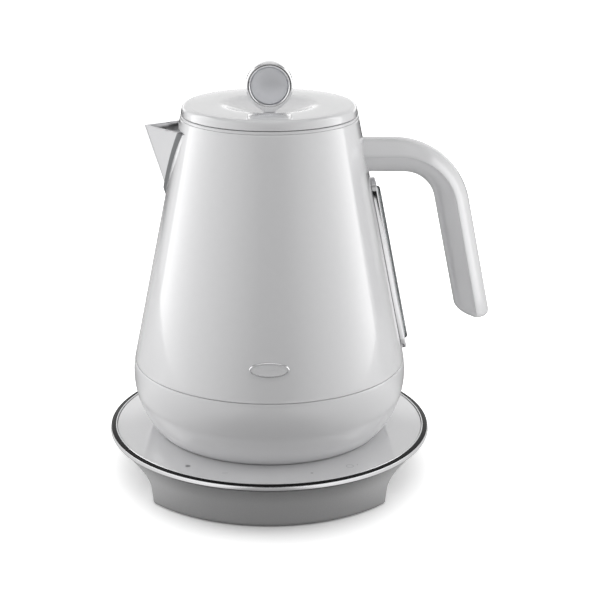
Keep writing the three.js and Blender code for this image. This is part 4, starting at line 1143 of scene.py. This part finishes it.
def blend_colours(tree, factor, one, two):
    mix = tree.nodes.new("ShaderNodeMix")
    mix.data_type = "RGBA"
    for socket, source in (("Factor", factor), ("A", one), ("B", two)):
        tree.links.new(source, mix.inputs[socket])
    return mix.outputs["Result"]


def ramp(tree, source, stops):
    """A grey ramp over a 0-1 value. Stops are (position, level)."""
    made = tree.nodes.new("ShaderNodeValToRGB")
    elements = made.color_ramp.elements
    while len(elements) < len(stops):
        elements.new(0.5)
    for element, (position, level) in zip(elements, stops):
        element.position = position
        element.color = (level, level, level, 1)
    tree.links.new(source, made.inputs["Fac"])
    return made.outputs["Color"]


def arithmetic(tree, operation, *values):
    made = tree.nodes.new("ShaderNodeMath")
    made.operation = operation
    for socket, value in zip(made.inputs, values):
        if isinstance(value, (int, float)):
            socket.default_value = value
        else:
            tree.links.new(value, socket)
    return made.outputs["Value"]


def stage_mesh(name, points, faces, material):
    mesh = bpy.data.meshes.new(name)
    mesh.from_pydata(points, [], faces)
    mesh.materials.append(material)
    piece = bpy.data.objects.new(name, mesh)
    bpy.context.scene.collection.objects.link(piece)
    return piece


def floor():
    """The camera sees a white ground with painted shade round the base; the object is lit by a
    darker one, with painted shade near the base and a painted glow beside it.
    """
    made = bpy.data.materials.new("floor")
    made.use_nodes = True
    tree = made.node_tree
    shader = tree.nodes["Principled BSDF"]
    shader.inputs["Roughness"].default_value = 0.9
    shader.inputs["Specular IOR Level"].default_value = 0.0
    shader.inputs["Emission Color"].default_value = WHITE
    path = tree.nodes.new("ShaderNodeLightPath")
    x, y, _ = position(tree, "Object")
    across, along = arithmetic(tree, "MULTIPLY", x, x), arithmetic(tree, "MULTIPLY", y, y)
    far = arithmetic(tree, "SQRT", arithmetic(tree, "ADD", across, along))
    shade = arithmetic(tree, "SQRT", arithmetic(
        tree, "ADD", arithmetic(tree, "MULTIPLY", across, SEEN_WIDE ** 2), along))
    aside = arithmetic(tree, "ABSOLUTE", x)
    glow = arithmetic(tree, "MULTIPLY", ramp(tree, aside, NEAR_GLOW), ramp(tree, y, BEHIND))
    seen = path.outputs["Is Camera Ray"]
    for socket, unseen, seen_levels in (
            ("Base Color", ramp(tree, far, UNSEEN_ALBEDO_PAINTED_SHADE), SEEN_ALBEDO),
            ("Emission Strength", glow, SEEN_GLOW_PAINTED_SHADE)):
        colour = blend_colours(tree, seen, unseen, ramp(tree, shade, seen_levels))
        tree.links.new(colour, shader.inputs[socket])
    points = [(FLOOR_R * math.cos(TURN * k / FLOOR_SEGMENTS),
               FLOOR_R * math.sin(TURN * k / FLOOR_SEGMENTS), 0)
              for k in range(FLOOR_SEGMENTS)]
    stage_mesh("floor", points, [list(range(FLOOR_SEGMENTS))], made)


def light_wall():
    """A round wall of soft light: dim in front, bright towards the sides, pale behind."""
    count = WALL_SEGMENTS
    made = bpy.data.materials.new("light_wall")
    made.use_nodes = True
    tree = made.node_tree
    tree.nodes.clear()
    x, y, z = position(tree, "Object")
    turn = arithmetic(tree, "ARCTAN2", x, arithmetic(tree, "MULTIPLY", y, -1))
    share = arithmetic(tree, "ADD", arithmetic(tree, "DIVIDE", turn, TURN), 0.5)
    height = arithmetic(tree, "DIVIDE", z, WALL_HIGH)
    sides = ramp(tree, share, [((d + 180) / 360, v / GAIN) for d, v in SIDE_LEVELS])
    behind, above = (ramp(tree, height, [(h / WALL_HIGH, v / GAIN) for h, v in levels])
                     for levels in (BACK_LEVELS, FRONT_LEVELS))
    is_back = ramp(tree, share, [(0.0, 1), (0.1, 1), (0.12, 0), (0.88, 0), (0.9, 1), (1, 1)])
    is_front = ramp(tree, share, [(0.0, 0), (0.3, 0), (0.36, 1), (0.64, 1), (0.7, 0), (1, 0)])
    front = arithmetic(tree, "MAXIMUM", sides, arithmetic(tree, "MULTIPLY", is_front, above))
    colour = blend_colours(tree, is_back, front, behind)
    glow = node(tree, "ShaderNodeEmission", Strength=GAIN)
    end = tree.nodes.new("ShaderNodeOutputMaterial")
    tree.links.new(colour, glow.inputs["Color"])
    tree.links.new(glow.outputs["Emission"], end.inputs["Surface"])
    points = [(WALL_R * math.sin(TURN * k / count),
               -WALL_R * math.cos(TURN * k / count), level)
              for level in (0, WALL_HIGH) for k in range(count)]
    faces = [[k, (k + 1) % count, (k + 1) % count + count, k + count] for k in range(count)]
    stage_mesh("light_wall", points, faces, made).visible_camera = False


def studio_world():
    """A softbox above and dim light round it. The camera sees plain white."""
    world = bpy.data.worlds.new("studio")
    bpy.context.scene.world = world
    world.use_nodes = True
    tree = world.node_tree
    z = position(tree, "Generated")[2]
    height = arithmetic(tree, "MULTIPLY_ADD", z, 0.5, 0.5)
    low, high = ((math.sin(math.radians(d)) + 1) / 2 for d in SOFTBOX)
    levels = ramp(tree, height, [(0, AMBIENT), (low, AMBIENT), (high, TOP_LIGHT), (1, TOP_LIGHT)])
    light = tree.nodes["Background"]
    tree.links.new(levels, light.inputs["Color"])
    seen = node(tree, "ShaderNodeBackground", Color=WHITE)
    path = tree.nodes.new("ShaderNodeLightPath")
    choose = tree.nodes.new("ShaderNodeMixShader")
    tree.links.new(path.outputs["Is Camera Ray"], choose.inputs["Fac"])
    tree.links.new(light.outputs["Background"], choose.inputs[1])
    tree.links.new(seen.outputs["Background"], choose.inputs[2])
    tree.links.new(choose.outputs["Shader"], tree.nodes["World Output"].inputs["Surface"])


def camera():
    data = bpy.data.cameras.new("camera")
    data.sensor_width = 36
    data.lens = LENS
    data.shift_x = SHIFT
    piece = bpy.data.objects.new("camera", data)
    piece.location = CAMERA_SPOT
    piece.rotation_euler = (CAMERA_TILT, 0, 0)
    bpy.context.scene.collection.objects.link(piece)
    bpy.context.scene.camera = piece


camera()
floor()
light_wall()
studio_world()
bpy.context.scene.view_settings.view_transform = "Standard"
power_base()
jug()
lid()
finish_cad()
